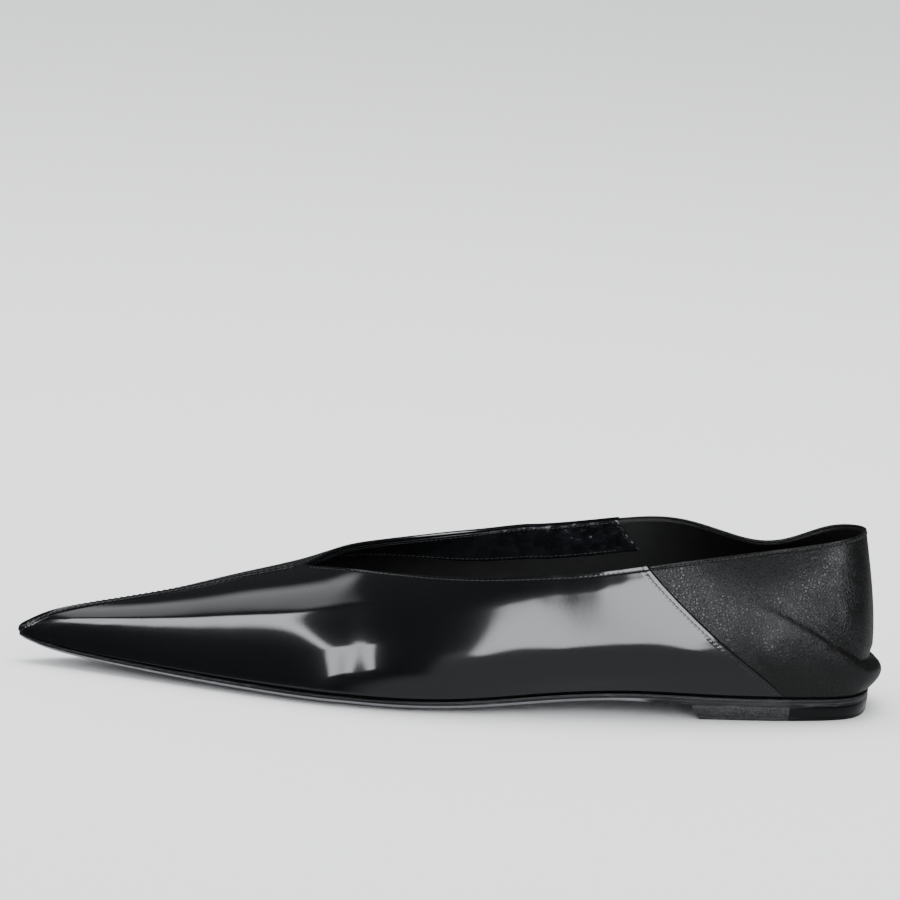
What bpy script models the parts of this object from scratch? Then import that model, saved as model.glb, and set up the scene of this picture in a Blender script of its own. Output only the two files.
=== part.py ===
"""Pointed toe flat shoe, left foot, standing empty on its sole.

Frame: toe towards -X, heel towards +X, outer side of the foot towards -Y, inner side towards +Y,
+Z up, origin on the floor under the middle of the shoe. Tables are in millimetres or in shares of
the driving sizes, and MM turns them into Blender's metres.
"""
import bmesh
import bpy
import numpy as np

MM = 0.001

# Driving sizes, in millimetres
LENGTH = 276.0            # toe tip to the roll of leather behind the heel
BALL_WIDTH = 84.3         # across the ball of the foot, seen from above
BACK_HEIGHT = 58.0        # floor to the top edge of the back
HEEL_HEIGHT = 7.4         # floor to the upper at the heel
HEEL_TREAD = 4.7          # floor to the underside of the outsole there
MIDDLE_X = 0.5 * LENGTH - 0.46    # the toe's seam stands out in front of the outline

VAMP_WALL = 1.6           # patent leather with its lining
BACK_WALL = 1.2           # soft leather with its lining
OVERLAP_STEP = 0.4        # the vamp lies over the back panel and stands this much prouder
SEAM_HALF = 2.0           # half the width of the raised seam along the toe
SEAM_RISE = 0.4           # its height
GAP = 0.3                 # clearance between neighbours
SOLE_EDGE = 0.5           # the outsole shows this much past the upper's foot
UPRIGHT_SHARE = 0.6       # upright part of the sole's edge, the rest is bevelled
BEVEL_IN = 1.2            # how far the bevel reaches under the sole
CROWN_IN = 9.0            # from there the sole rounds down to its tread over this width
INSOLE_THICK = 2.4
CAVITY_START = 2.0        # station where the hollow of the toe begins
BREAST_TOP = 209.5        # front of the heel under the outsole
BREAST_FOOT = 212.5       # front of the heel on the floor
HEEL_TAPER = 0.5          # the heel draws in this much down to the floor
BREAST_HOLLOW = 2.2       # how far the heel's front is hollowed
SEAM_CLEAR = 0.22         # half of the gap along the seam, measured along the shoe
STRIPS = 4                # faces across the sole and the insole

# Sections of the upper from toe to heel. Shares: along of LENGTH, outer and inner of BALL_WIDTH,
# belly and shoulder in and up of the way to the crown. Millimetres: tuck, seat and tread.
SECTION_COLUMNS = ("along", "outer", "inner", "tuck_outer", "tuck_inner", "seat", "tread", "rim",
                   "belly_in", "belly_up", "shoulder_in", "shoulder_up")
SECTIONS = (
    (0.0000, 0.084, 0.084, 0.0, 0.0, 10.0, 8.6, 0.0, 0.030, 0.32, 0.26, 0.56),
    (0.0145, 0.049, 0.120, 0.2, 0.2, 8.5, 6.4, 0.3, 0.050, 0.32, 0.24, 0.58),
    (0.0435, 0.005, 0.153, 0.3, 0.3, 7.0, 4.2, 0.6, 0.055, 0.31, 0.21, 0.60),
    (0.1014, -0.087, 0.217, 0.4, 0.4, 5.7, 2.3, 1.1, 0.055, 0.31, 0.19, 0.61),
    (0.1739, -0.202, 0.301, 0.6, 0.6, 4.8, 0.9, 1.5, 0.050, 0.31, 0.18, 0.61),
    (0.2464, -0.314, 0.394, 0.8, 1.0, 4.2, 0.2, 1.6, 0.045, 0.31, 0.18, 0.61),
    (0.3188, -0.418, 0.467, 1.2, 1.6, 3.9, 0.0, 1.5, 0.035, 0.32, 0.18, 0.62),
    (0.3659, -0.460, 0.493, 1.6, 2.2, 3.8, 0.0, 1.4, 0.025, 0.33, 0.20, 0.63),
    (0.4167, -0.493, 0.502, 2.1, 3.2, 3.8, 0.0, 1.3, 0.010, 0.34, 0.22, 0.62),
    (0.5000, -0.498, 0.461, 3.0, 5.2, 4.4, 0.7, 1.1, 0.000, 0.36, 0.25, 0.60),
    (0.5942, -0.469, 0.412, 3.8, 6.6, 6.4, 3.0, 0.7, 0.000, 0.36, 0.26, 0.58),
    (0.6884, -0.459, 0.381, 4.6, 6.2, 7.8, 4.8, 0.3, 0.000, 0.34, 0.26, 0.58),
    (0.7754, -0.456, 0.367, 4.4, 4.4, 7.6, 4.7, 0.0, 0.000, 0.30, 0.26, 0.56),
    (0.8551, -0.427, 0.331, 3.4, 3.2, HEEL_HEIGHT, HEEL_TREAD, 0.0, 0.000, 0.28, 0.24, 0.54),
    (0.9170, -0.379, 0.285, 2.2, 2.2, HEEL_HEIGHT, HEEL_TREAD, 0.0, 0.000, 0.26, 0.22, 0.52),
    (0.9540, -0.316, 0.229, 1.4, 1.4, HEEL_HEIGHT, HEEL_TREAD, 0.0, 0.000, 0.26, 0.24, 0.50),
    (0.9745, -0.209, 0.126, 0.8, 0.8, HEEL_HEIGHT, HEEL_TREAD, 0.0, 0.000, 0.28, 0.30, 0.50),
    (0.9845, -0.042, -0.042, 0.6, 0.6, HEEL_HEIGHT, HEEL_TREAD, 0.0, 0.000, 0.30, 0.36, 0.50),
)

# Top of each section: the ridge of the toe, then a crown over the throat, then the top edge itself.
# Shares: along of LENGTH, y of BALL_WIDTH, z of BACK_HEIGHT.
CROWN_COLUMNS = ("along", "outer_y", "outer_z", "inner_y", "inner_z")
CROWN = (
    (0.0000, 0.084, 0.184, 0.084, 0.184),
    (0.0145, 0.083, 0.238, 0.083, 0.238),
    (0.0435, 0.081, 0.297, 0.081, 0.297),
    (0.1014, 0.075, 0.360, 0.075, 0.360),
    (0.1739, 0.068, 0.436, 0.068, 0.436),
    (0.2464, 0.061, 0.528, 0.061, 0.528),
    (0.3188, 0.053, 0.614, 0.053, 0.614),
    (0.3659, 0.030, 0.688, 0.100, 0.694),
    (0.4167, -0.090, 0.729, 0.190, 0.745),
    (0.5000, -0.300, 0.755, 0.345, 0.792),
    (0.5942, -0.375, 0.762, 0.389, 0.798),
    (0.6884, -0.367, 0.824, 0.369, 0.860),
    (0.7699, -0.311, 0.874, 0.292, 0.902),
    (0.8406, -0.206, 0.893, 0.112, 0.860),
    (0.8913, -0.192, 0.929, 0.078, 0.893),
    (0.9293, -0.199, 0.971, 0.098, 0.953),
    (0.9565, -0.136, 0.990, 0.042, 0.988),
    (0.9667, -0.047, 0.998, -0.047, 0.998),
)

# Where the throat is cut through the crown. Shares of BALL_WIDTH.
THROAT_COLUMNS = ("station", "outer_y", "inner_y")
THROAT = (
    (6, 0.053, 0.053),
    (7, -0.130, 0.192),
    (8, -0.235, 0.294),
    (9, -0.342, 0.375),
    (10, -0.375, 0.389),
)
THROAT_OPENING = (-0.25, 0.17)    # slope of the two edges at the point of the throat, a station
POINT_OF_THROAT = 6
THROAT_END = 10
BACK = len(SECTIONS) - 1

# The seam between vamp and back panel, as stations at the foot and at the top edge
SEAM_FOOT = 13.25
SEAM_TOP = 11.12
SEAM_BOW = 0.5            # how hollow the seam is towards the toe, 0 is straight
SEAM_FAN = 8.5            # the columns start to lean towards the seam from this station

# The fold in the soft back, in millimetres: its crease falls towards the heel's back, with a roll
# of leather bulging below it and a shallow trough above
FOLD_COLUMNS = ("station", "height", "bulge", "trough")
FOLD = (
    (12.6, 37.5, 0.0, 0.0),
    (13.6, 33.5, 0.5, 0.5),
    (14.6, 27.0, 1.2, 0.9),
    (15.5, 21.0, 2.4, 0.9),
    (16.3, 17.5, 3.5, 0.7),
    (17.0, 16.5, 4.1, 0.5),
)
ROLL_HEIGHT = 10.0        # upright size of the roll
TROUGH_HEIGHT = 12.0      # upright size of the trough


def named(columns, rows, name):
    """One column of a table, as an array."""
    return np.array([row[columns.index(name)] for row in rows], float)


def spline(values, at, start=None, end=None):
    """Cubic spline through values at 0, 1, 2..., natural or with the end slopes that are given."""
    count = len(values)
    system = np.eye(count)
    right = np.zeros(count)
    for i in range(1, count - 1):
        system[i, i - 1:i + 2] = 1.0, 4.0, 1.0
        right[i] = 6.0 * (values[i - 1] - 2.0 * values[i] + values[i + 1])
    if start is not None:
        system[0, :2] = 2.0, 1.0
        right[0] = 6.0 * (values[1] - values[0] - start)
    if end is not None:
        system[-1, -2:] = 1.0, 2.0
        right[-1] = 6.0 * (end - values[-1] + values[-2])
    bend = np.linalg.solve(system, right)
    i = np.clip(np.floor(at).astype(int), 0, count - 2)
    t = at - i
    s = 1.0 - t
    return (values[i] * s + values[i + 1] * t
            + (bend[i] * (s ** 3 - s) + bend[i + 1] * (t ** 3 - t)) / 6.0)


def section(name, station):
    """A column of SECTIONS at any station."""
    ends = {"along": {"start": 0.0, "end": 0.0}}
    return spline(named(SECTION_COLUMNS, SECTIONS, name), station, **ends.get(name, {}))


def outline(station, side):
    """Widest line of the upper in plan, x and y in millimetres. side is -1 outer, +1 inner."""
    x = LENGTH * section("along", station)
    y = BALL_WIDTH * section("outer" if side < 0 else "inner", station)
    return np.stack([x, y], -1)


def outward(station, side):
    """Unit vector in plan, square to the outline and away from the foot."""
    step = 1e-3
    before = outline(np.clip(station - step, 0, BACK), side)
    after = outline(np.clip(station + step, 0, BACK), side)
    along = after - before
    along /= np.linalg.norm(along, axis=-1, keepdims=True)
    away = side * np.stack([-along[..., 1], along[..., 0]], -1)
    away[station <= 0.0] = (-1.0, 0.0)
    away[station >= BACK] = (1.0, 0.0)
    return away


def parted(what, station, side, end=None):
    """Mean of a crown column's two sides, and from the throat on half of their difference."""
    outer = named(CROWN_COLUMNS, CROWN, "outer_" + what)
    inner = named(CROWN_COLUMNS, CROWN, "inner_" + what)
    mean = spline(0.5 * (outer + inner), station, end=end)
    past = np.clip(station - POINT_OF_THROAT, 0.0, BACK)
    half = spline(0.5 * (inner - outer)[POINT_OF_THROAT:], past, start=0.0)
    return mean + side * half


def crown(station, side):
    """Top of the section at a station: ridge, imagined crown over the throat, then top edge."""
    x = LENGTH * spline(named(CROWN_COLUMNS, CROWN, "along"), station, start=0.0, end=0.0)
    y = BALL_WIDTH * parted("y", station, side)
    z = BACK_HEIGHT * parted("z", station, side, end=0.0)
    return np.stack([x, y, z], -1)


def through(points, v):
    """Natural cubic curve through four points, v from 0 to 1 by the length of its chords."""
    chords = np.linalg.norm(np.diff(points, axis=0), axis=-1) + 1e-9
    h = chords / chords.sum(0)
    slopes = np.diff(points, axis=0) / h[..., None]
    a, b, c = 2.0 * (h[0] + h[1]), h[1], 2.0 * (h[1] + h[2])
    first, second = 6.0 * (slopes[1] - slopes[0]), 6.0 * (slopes[2] - slopes[1])
    size = (a * c - b * b)[..., None]
    bend_1 = (first * c[..., None] - second * b[..., None]) / size
    bend_2 = (second * a[..., None] - first * b[..., None]) / size
    none = np.zeros_like(bend_1)
    bends = (none, bend_1, bend_2, none)
    starts = (np.zeros_like(v), h[0], h[0] + h[1])
    result = np.zeros(v.shape + (3,))
    for i in range(3):
        t = ((v - starts[i]) / h[i])[..., None]
        s = 1.0 - t
        curve = (points[i] * s + points[i + 1] * t
                 + (bends[i] * (s ** 3 - s) + bends[i + 1] * (t ** 3 - t))
                 * (h[i] ** 2)[..., None] / 6.0)
        inside = v >= starts[i]
        result[inside] = curve[inside]
    return result


def last_form(station, v, side):
    """The last: foot, belly, shoulder and crown of each section joined by a smooth curve."""
    which = "outer" if side < 0 else "inner"
    edge, away, top = outline(station, side), outward(station, side), crown(station, side)
    seat = section("seat", station)
    tuck = section("tuck_" + which, station)[..., None]
    reach = np.abs(top[..., 1] - edge[..., 1])
    rise = top[..., 2] - seat
    foot = np.concatenate([edge - away * tuck, seat[..., None]], -1)
    belly_in = (section("belly_in", station) * reach)[..., None]
    belly_up = (seat + section("belly_up", station) * rise)[..., None]
    belly = np.concatenate([edge - away * belly_in, belly_up], -1)
    inwards, upwards = section("shoulder_in", station), section("shoulder_up", station)
    shoulder = belly + (top - belly) * np.stack([inwards, inwards, upwards], -1)
    return through(np.stack([foot, belly, shoulder, top]), v)


def cut_height(station, side):
    """Share of the section below the throat's edge, found by halving on the edge's y."""
    which, opening = ("outer_y", THROAT_OPENING[0]) if side < 0 else ("inner_y", THROAT_OPENING[1])
    local = np.clip(station - POINT_OF_THROAT, 0.0, THROAT_END - POINT_OF_THROAT)
    edge = BALL_WIDTH * spline(named(THROAT_COLUMNS, THROAT, which), local, start=opening)
    low, high = np.full(station.shape, 0.6), np.ones(station.shape)
    for _ in range(26):
        middle = 0.5 * (low + high)
        past = side * (last_form(station, middle, side)[..., 1] - edge) < 0.0
        high = np.where(past, middle, high)
        low = np.where(past, low, middle)
    cut = (station > POINT_OF_THROAT) & (station < THROAT_END)
    return np.where(cut, high, 1.0)


def smooth_step(t):
    """0 below 0, 1 above 1, smooth between."""
    t = np.clip(t, 0.0, 1.0)
    return t * t * (3.0 - 2.0 * t)


def normal(station, v, side, trim):
    """Unit normal of the last, away from the foot."""
    step = 1e-3
    back, front = np.clip(station - step, 0, BACK), np.clip(station + step, 0, BACK)
    low, high = np.clip(v - step, 0, 1), np.clip(v + step, 0, 1)
    along = last_form(front, v * trim, side) - last_form(back, v * trim, side)
    up = last_form(station, high * trim, side) - last_form(station, low * trim, side)
    across = side * np.cross(up, along)
    across /= np.linalg.norm(across, axis=-1, keepdims=True)
    across[station <= 0.0] = (-1.0, 0.0, 0.0)
    across[station >= BACK, 1] = 0.0
    across[(station <= POINT_OF_THROAT) & (v > 0.999)] = (0.0, 0.0, 1.0)
    return across


def fold_relief(station, z):
    """The roll of soft leather over the heel and the hollow above its crease, in millimetres."""
    stations = named(FOLD_COLUMNS, FOLD, "station")
    height, bulge, trough = (np.interp(station, stations, named(FOLD_COLUMNS, FOLD, name))
                             for name in FOLD_COLUMNS[1:])
    below = np.clip((height - z) / ROLL_HEIGHT, 0.0, 1.0)
    above = np.clip((z - height) / TROUGH_HEIGHT, 0.0, 1.0)
    roll = np.sin(np.pi * below ** 0.85)
    hollow = np.sin(np.pi * above ** 0.7) ** 2
    return bulge * roll - trough * hollow


def upper_point(station, v, side, panel):
    """Outer face of the upper and its normal. v is 0 at the foot and 1 at the top edge."""
    trim = cut_height(station, side)
    place = last_form(station, v * trim, side)
    away = normal(station, v, side, trim)
    if panel == "vamp":
        from_ridge = np.linalg.norm(place - crown(station, side), axis=-1)
        fade = smooth_step((POINT_OF_THROAT - station) / 0.15)
        relief = SEAM_RISE * fade * smooth_step((SEAM_HALF + 0.2 - from_ridge) / 0.4)
    else:
        near_seam = smooth_step(1.0 - (station - SEAM_TOP) / 3.5)
        relief = fold_relief(station, place[..., 2]) - OVERLAP_STEP * near_seam
    return place + away * relief[..., None], away


def wall_grid(station, v, side, panel, wall):
    """Outer and inner points of a wall on the grid of stations and heights."""
    outer, away = upper_point(station, v, side, panel)
    flat = away.copy()
    flat[..., 2] = 0.0
    flat /= np.maximum(np.linalg.norm(flat, axis=-1, keepdims=True), 1e-9)
    level = (1.0 - smooth_step(v / 0.08))[..., None]
    thick = away * (1.0 - level) + flat * level
    ridge = (station <= POINT_OF_THROAT) & (v > 0.999)
    thick[ridge] = (0.0, 0.0, 1.15)
    return outer, outer - wall * thick


def to_frame(points):
    """Millimetres from the toe tip to metres in the shoe's own frame."""
    return (np.asarray(points, float) - (MIDDLE_X, 0.0, 0.0)) * MM


def finish(name, verts, faces, material):
    """A mesh object from points in millimetres, its doubles merged and its faces turned outwards."""
    mesh = bpy.data.meshes.new(name)
    mesh.from_pydata([tuple(p) for p in to_frame(verts)], [], faces)
    shell = bmesh.new()
    shell.from_mesh(mesh)
    bmesh.ops.remove_doubles(shell, verts=shell.verts, dist=2e-6)
    bmesh.ops.dissolve_degenerate(shell, edges=shell.edges, dist=1e-7)
    bmesh.ops.triangulate(shell, faces=[f for f in shell.faces if len(f.verts) > 3])
    bmesh.ops.recalc_face_normals(shell, faces=shell.faces)
    shell.to_mesh(mesh)
    shell.free()
    mesh.shade_smooth()
    mesh.set_sharp_from_angle(angle=0.7)
    mesh.materials.append(material)
    thing = bpy.data.objects.new(name, mesh)
    bpy.context.collection.objects.link(thing)
    return thing


def sheet_faces(index):
    """Quads over a grid of vertex numbers."""
    a, b, c, d = index[:-1, :-1], index[1:, :-1], index[1:, 1:], index[:-1, 1:]
    return np.stack([a, b, c, d], -1).reshape(-1, 4).tolist()


def strip_faces(one, two):
    """Quads between two rows of vertex numbers."""
    return np.stack([one[:-1], one[1:], two[1:], two[:-1]], -1).reshape(-1, 4).tolist()


def seam_station(v):
    """Station of the slanted seam at each height, a little hollow like the one in the shoe."""
    return SEAM_FOOT + (SEAM_TOP - SEAM_FOOT) * v * (1.0 + SEAM_BOW * (1.0 - v))


def seam_rows():
    """Heights of the rows that both leathers share at the seam, closer together at the roll."""
    return np.concatenate([np.linspace(0.0, 0.42, 8, endpoint=False), np.linspace(0.42, 1.0, 7)])


def station_gap(station, distance):
    """A distance along the shoe as a difference of stations."""
    step = 0.01
    return distance * 2.0 * step / (LENGTH * (section("along", station + step)
                                              - section("along", station - step)))


def vamp_rows(station, side):
    """Heights of the vamp's rows at each station: even ones, then two at the edge of the seam."""
    trim = cut_height(station, side)
    steps = np.linspace(0.0, 1.0, 25)[None, :] * trim[:, None]
    spread = np.broadcast_to(station[:, None], steps.shape)
    column = last_form(spread, steps, side)
    length = np.linalg.norm(np.diff(column, axis=1), axis=-1).sum(1)
    room = np.minimum((SEAM_HALF + 0.3) / length, 0.45)
    narrow = np.minimum((SEAM_HALF - 0.3) / length, 0.30)
    even = (1.0 - room)[:, None] * np.linspace(0.0, 1.0, 13)[None, :]
    last = np.stack([1.0 - narrow, np.ones_like(narrow)], -1)
    return np.concatenate([even, last], 1)


def vamp_stations():
    """Stations of the vamp's upright columns, close together at the toe tip and the throat."""
    tip = np.linspace(0.0, 1.0, 4, endpoint=False)
    toe = np.linspace(1.0, POINT_OF_THROAT, 15, endpoint=False)
    throat = np.linspace(POINT_OF_THROAT, SEAM_FAN, 10)
    return np.concatenate([tip, toe, throat])


def vamp_grid(side):
    """Stations and heights of one side of the vamp, fanned towards the slanted seam."""
    upright = vamp_stations()
    rows = vamp_rows(upright, side)
    station = np.broadcast_to(upright[:, None], rows.shape)
    fan = np.linspace(0.0, 1.0, 13)[1:, None]
    v = rows[-1] + (seam_rows() - rows[-1]) * fan
    end = seam_station(v)
    end = end - station_gap(end, SEAM_CLEAR)
    fanned = SEAM_FAN + (end - SEAM_FAN) * fan
    return np.concatenate([station, fanned]), np.concatenate([rows, v])


def make_vamp(material):
    """The vamp: one hollow wall round the toe and both sides, closed over the toe."""
    verts, faces = [], []
    foot, inner_foot, cavity = {}, {}, {}
    for side in (-1, 1):
        station, v = vamp_grid(side)
        outer, inner = wall_grid(station, v, side, "vamp", VAMP_WALL)
        start = int(np.argmax(station[:, 0] >= CAVITY_START))
        numbers = np.arange(outer[..., 0].size).reshape(outer.shape[:2]) + len(verts)
        verts += outer.reshape(-1, 3).tolist()
        inside = inner[start:]
        inner_numbers = np.arange(inside[..., 0].size).reshape(inside.shape[:2]) + len(verts)
        verts += inside.reshape(-1, 3).tolist()
        faces += sheet_faces(numbers)
        faces += sheet_faces(inner_numbers)
        faces += strip_faces(numbers[-1], inner_numbers[-1])
        faces += strip_faces(numbers[start:, 0], inner_numbers[:, 0])
        opening = int(np.argmax(station[:, 0] >= POINT_OF_THROAT))
        faces += strip_faces(numbers[opening:, -1], inner_numbers[opening - start:, -1])
        foot[side], inner_foot[side], cavity[side] = numbers[:, 0], inner_numbers[:, 0], inner_numbers[0]
    faces += strip_faces(foot[-1][:start], foot[1][:start])
    faces += strip_faces(cavity[-1], cavity[1])
    faces.append([foot[-1][start - 1], foot[1][start - 1], foot[1][start], inner_foot[1][0],
                  inner_foot[-1][0], foot[-1][start]])
    return finish("vamp", verts, faces, material)


def make_back_panel(material):
    """The soft back panel: one wall from seam to seam round the heel."""
    rows = seam_rows()
    outer_columns, inner_columns = [], []
    for side in (-1, 1):
        begin = seam_station(rows)
        begin = begin + station_gap(begin, SEAM_CLEAR)
        share = np.linspace(0.0, 1.0, 20)[:, None]
        station = begin[None, :] + (BACK - begin[None, :]) * share
        v = np.broadcast_to(rows, station.shape)
        outer, inner = wall_grid(station, v, side, "back", BACK_WALL)
        if side > 0:
            outer, inner = outer[-2::-1], inner[-2::-1]
        outer_columns.append(outer)
        inner_columns.append(inner)
    outer, inner = np.concatenate(outer_columns), np.concatenate(inner_columns)
    numbers = np.arange(outer[..., 0].size).reshape(outer.shape[:2])
    inner_numbers = numbers + numbers.size
    verts = outer.reshape(-1, 3).tolist() + inner.reshape(-1, 3).tolist()
    faces = sheet_faces(numbers) + sheet_faces(inner_numbers)
    faces += strip_faces(numbers[0], inner_numbers[0]) + strip_faces(numbers[-1], inner_numbers[-1])
    faces += strip_faces(numbers[:, 0], inner_numbers[:, 0])
    faces += strip_faces(numbers[:, -1], inner_numbers[:, -1])
    return finish("back_panel", verts, faces, material)


def foot_line(station, side, out):
    """The upper's foot in plan, moved outwards by out."""
    which = "outer" if side < 0 else "inner"
    move = out - section("tuck_" + which, station)
    return outline(station, side) + outward(station, side) * move[..., None]


def slab(stations, levels, strips):
    """Closed slab between the two foot lines: levels are (out, z) pairs from top to bottom."""
    rings = []
    for out, z in levels:
        left = foot_line(stations, -1, out)
        right = foot_line(stations, 1, out)
        rings.append((np.column_stack([left, z]), np.column_stack([right, z])))
    share = np.linspace(0.0, 1.0, strips + 1)[None, :, None]
    sheets = []
    for left, right in (rings[0], rings[-1]):
        sheets.append(left[:, None] * (1.0 - share) + right[:, None] * share)
    verts = sheets[0].reshape(-1, 3).tolist() + sheets[1].reshape(-1, 3).tolist()
    top = np.arange(sheets[0][..., 0].size).reshape(sheets[0].shape[:2])
    bottom = top + top.size
    faces = sheet_faces(top) + sheet_faces(bottom)
    for hand, edge in ((0, 0), (1, -1)):
        row = top[:, edge]
        for ring in rings[1:-1]:
            below = np.arange(len(stations)) + len(verts)
            verts += ring[hand].tolist()
            faces += strip_faces(row, below)
            row = below
        faces += strip_faces(row, bottom[:, edge])
    return verts, faces


def make_outsole(material):
    """The outsole: arch, toe spring and a bevelled edge, flat on the floor under the ball."""
    stations = np.concatenate([np.linspace(0.0, 2.0, 7, endpoint=False),
                               np.linspace(2.0, 15.0, 27, endpoint=False),
                               np.linspace(15.0, BACK, 9)])
    top = section("seat", stations) - GAP
    tread = np.maximum(section("tread", stations), 0.0)
    rim = tread + np.maximum(section("rim", stations), 0.0)
    edge = top - UPRIGHT_SHARE * (top - rim)
    width = (foot_line(stations, 1, 0.0) - foot_line(stations, -1, 0.0))[:, 1]
    width[stations > THROAT_END] = BALL_WIDTH
    reach = SOLE_EDGE * smooth_step(stations / 1.5)
    bevel = np.minimum(BEVEL_IN, 0.15 * width)
    round_in = np.minimum(CROWN_IN, 0.30 * width)
    levels = ((reach, top), (reach, edge), (reach - bevel, rim), (reach - round_in, tread))
    verts, faces = slab(stations, levels, STRIPS)
    return finish("outsole", verts, faces, material)


def make_insole(material):
    """The sock that the foot lies on, inside the walls."""
    stations = np.concatenate([np.linspace(CAVITY_START + 0.5, 15.0, 24, endpoint=False),
                               np.linspace(15.0, BACK, 9)])
    wall = np.where(stations < SEAM_FOOT, VAMP_WALL, BACK_WALL) + OVERLAP_STEP
    wall = np.maximum(wall, VAMP_WALL)
    out = -(wall + GAP)
    low = section("seat", stations)
    verts, faces = slab(stations, ((out, low + INSOLE_THICK), (out, low)), STRIPS)
    bottom_row = len(stations) * (STRIPS + 1)
    faces.append(list(range(STRIPS + 1)) + list(range(bottom_row + STRIPS, bottom_row - 1, -1)))
    return finish("insole", verts, faces, material)


def make_heel(material):
    """The low heel under the outsole, its breast hollowed towards the back."""
    around = np.concatenate([np.linspace(11.5, 15.0, 10, endpoint=False), np.linspace(15.0, BACK, 9)])
    top_z = section("tread", around).min() - GAP
    outer, inner = foot_line(around, -1, SOLE_EDGE), foot_line(around, 1, SOLE_EDGE)
    ring = np.concatenate([outer, inner[-2::-1]])
    centre = ring.mean(0)
    rings = []
    for z, front, draw in ((top_z, BREAST_TOP, 0.0), (0.0, BREAST_FOOT, HEEL_TAPER)):
        shape = centre + (ring - centre) * (1.0 - 2.0 * draw / np.ptp(ring[:, 1]))
        shape[:, 0] = np.maximum(shape[:, 0], front)
        breast = np.linspace(shape[-1], shape[0], 9)[1:-1]
        breast[:, 0] += BREAST_HOLLOW * np.sin(np.linspace(0.0, np.pi, 9))[1:-1]
        shape = np.concatenate([shape, breast])
        rings.append(np.column_stack([shape, np.full(len(shape), z)]))
    count = len(rings[0])
    verts = rings[0].tolist() + rings[1].tolist()
    faces = [list(range(count)), list(range(count, 2 * count))]
    for i in range(count):
        j = (i + 1) % count
        faces.append([i, j, count + j, count + i])
    return finish("heel", verts, faces, material)


def leather(name, colour, roughness, coat):
    """A Principled material."""
    material = bpy.data.materials.new(name)
    material.use_nodes = True
    shader = material.node_tree.nodes["Principled BSDF"]
    shader.inputs["Base Color"].default_value = colour + (1.0,)
    shader.inputs["Roughness"].default_value = roughness
    shader.inputs["Metallic"].default_value = 0.0
    shader.inputs["Coat Weight"].default_value = coat
    return material


def main():
    for thing in list(bpy.data.objects):
        bpy.data.objects.remove(thing, do_unlink=True)
    make_vamp(leather("patent_leather", (0.006, 0.007, 0.009), 0.08, 0.6))
    make_back_panel(leather("soft_leather", (0.012, 0.012, 0.013), 0.45, 0.0))
    make_outsole(leather("sole_leather", (0.030, 0.029, 0.029), 0.40, 0.0))
    make_insole(leather("sock_leather", (0.016, 0.016, 0.016), 0.60, 0.0))
    make_heel(leather("heel_stack", (0.022, 0.022, 0.023), 0.45, 0.0))


main()
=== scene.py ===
"""Looks of the pointed toe flat shoe: leathers, linings, stitches, sole, heel and stage.

Shapes are worked out in millimetres from the toe tip, as in the part, and to_frame turns them into
the frame's metres. Toe towards -X, outer side of the foot towards -Y, +Z up.
"""
import math

import bmesh
import bpy
import numpy as np
from mathutils import Matrix, Vector


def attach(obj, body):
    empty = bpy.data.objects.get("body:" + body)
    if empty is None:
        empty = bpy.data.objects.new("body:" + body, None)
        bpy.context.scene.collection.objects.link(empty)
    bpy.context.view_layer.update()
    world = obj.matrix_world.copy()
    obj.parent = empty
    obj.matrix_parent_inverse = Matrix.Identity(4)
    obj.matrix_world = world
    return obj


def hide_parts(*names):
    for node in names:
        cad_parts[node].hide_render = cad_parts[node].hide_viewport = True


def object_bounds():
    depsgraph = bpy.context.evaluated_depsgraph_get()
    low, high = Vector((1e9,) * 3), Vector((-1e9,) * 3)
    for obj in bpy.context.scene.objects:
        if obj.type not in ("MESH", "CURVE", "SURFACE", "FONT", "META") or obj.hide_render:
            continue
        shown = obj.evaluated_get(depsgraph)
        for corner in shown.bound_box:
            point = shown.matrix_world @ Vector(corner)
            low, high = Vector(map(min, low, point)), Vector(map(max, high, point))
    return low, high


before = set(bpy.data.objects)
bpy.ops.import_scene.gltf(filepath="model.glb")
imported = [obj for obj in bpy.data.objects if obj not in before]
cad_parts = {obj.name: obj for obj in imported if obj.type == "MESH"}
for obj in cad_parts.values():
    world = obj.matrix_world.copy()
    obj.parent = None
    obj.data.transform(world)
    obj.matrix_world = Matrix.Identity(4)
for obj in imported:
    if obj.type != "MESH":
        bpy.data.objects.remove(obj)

bl_info = {
    "name": "Pointed toe flat shoe",
    "version": (1, 0, 0),
    "blender": (4, 5, 0),
    "location": "View3D > Sidebar > Shoe",
    "description": "Dresses the packed shoe with its leathers, linings, stitches and sole",
    "category": "Add Mesh",
}

CAD_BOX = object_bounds()
MM = 0.001

# Driving sizes of the upper, in millimetres, the same as in the part
LENGTH = 276.0
BALL_WIDTH = 84.3
BACK_HEIGHT = 58.0
HEEL_HEIGHT = 7.4
HEEL_TREAD = 4.7
MIDDLE_X = -CAD_BOX[0].x / MM - 0.4

VAMP_SKIN = 1.2           # patent leather, to its lining
BACK_SKIN = 0.8           # soft leather, to its lining
LINING = (0.85, 1.2)      # the lining's two faces, under the soft leather's outer face
FACING = (1.18, 1.45)     # the glossy band inside the top edge
FACING_WIDTH = 12.0
OVERLAP_STEP = 0.4        # the vamp lies over the back panel and stands this much prouder
SEAM_HALF = 2.0           # half the width of the raised seam along the toe
SEAM_RISE = 0.4
SEAM_CLEAR = 0.22         # half of the gap along the slanted seam
GAP = 0.3
SOLE_EDGE = 0.5
UPRIGHT_SHARE = 0.6
BEVEL_IN = 1.2
CROWN_IN = 9.0
SOCK_THICK = 2.4
TOE_HOLLOW = 2.0          # station where the hollow of the toe begins
BREAST_TOP = 209.5
BREAST_FOOT = 212.5
HEEL_TAPER = 0.5
BREAST_HOLLOW = 2.2
EDGE_ROUND = 0.5          # how far the rounded fold stands past the last row of a skin
SEAM_SINE = 0.70          # the seam's slant: square distance for a distance along the shoe
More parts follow.
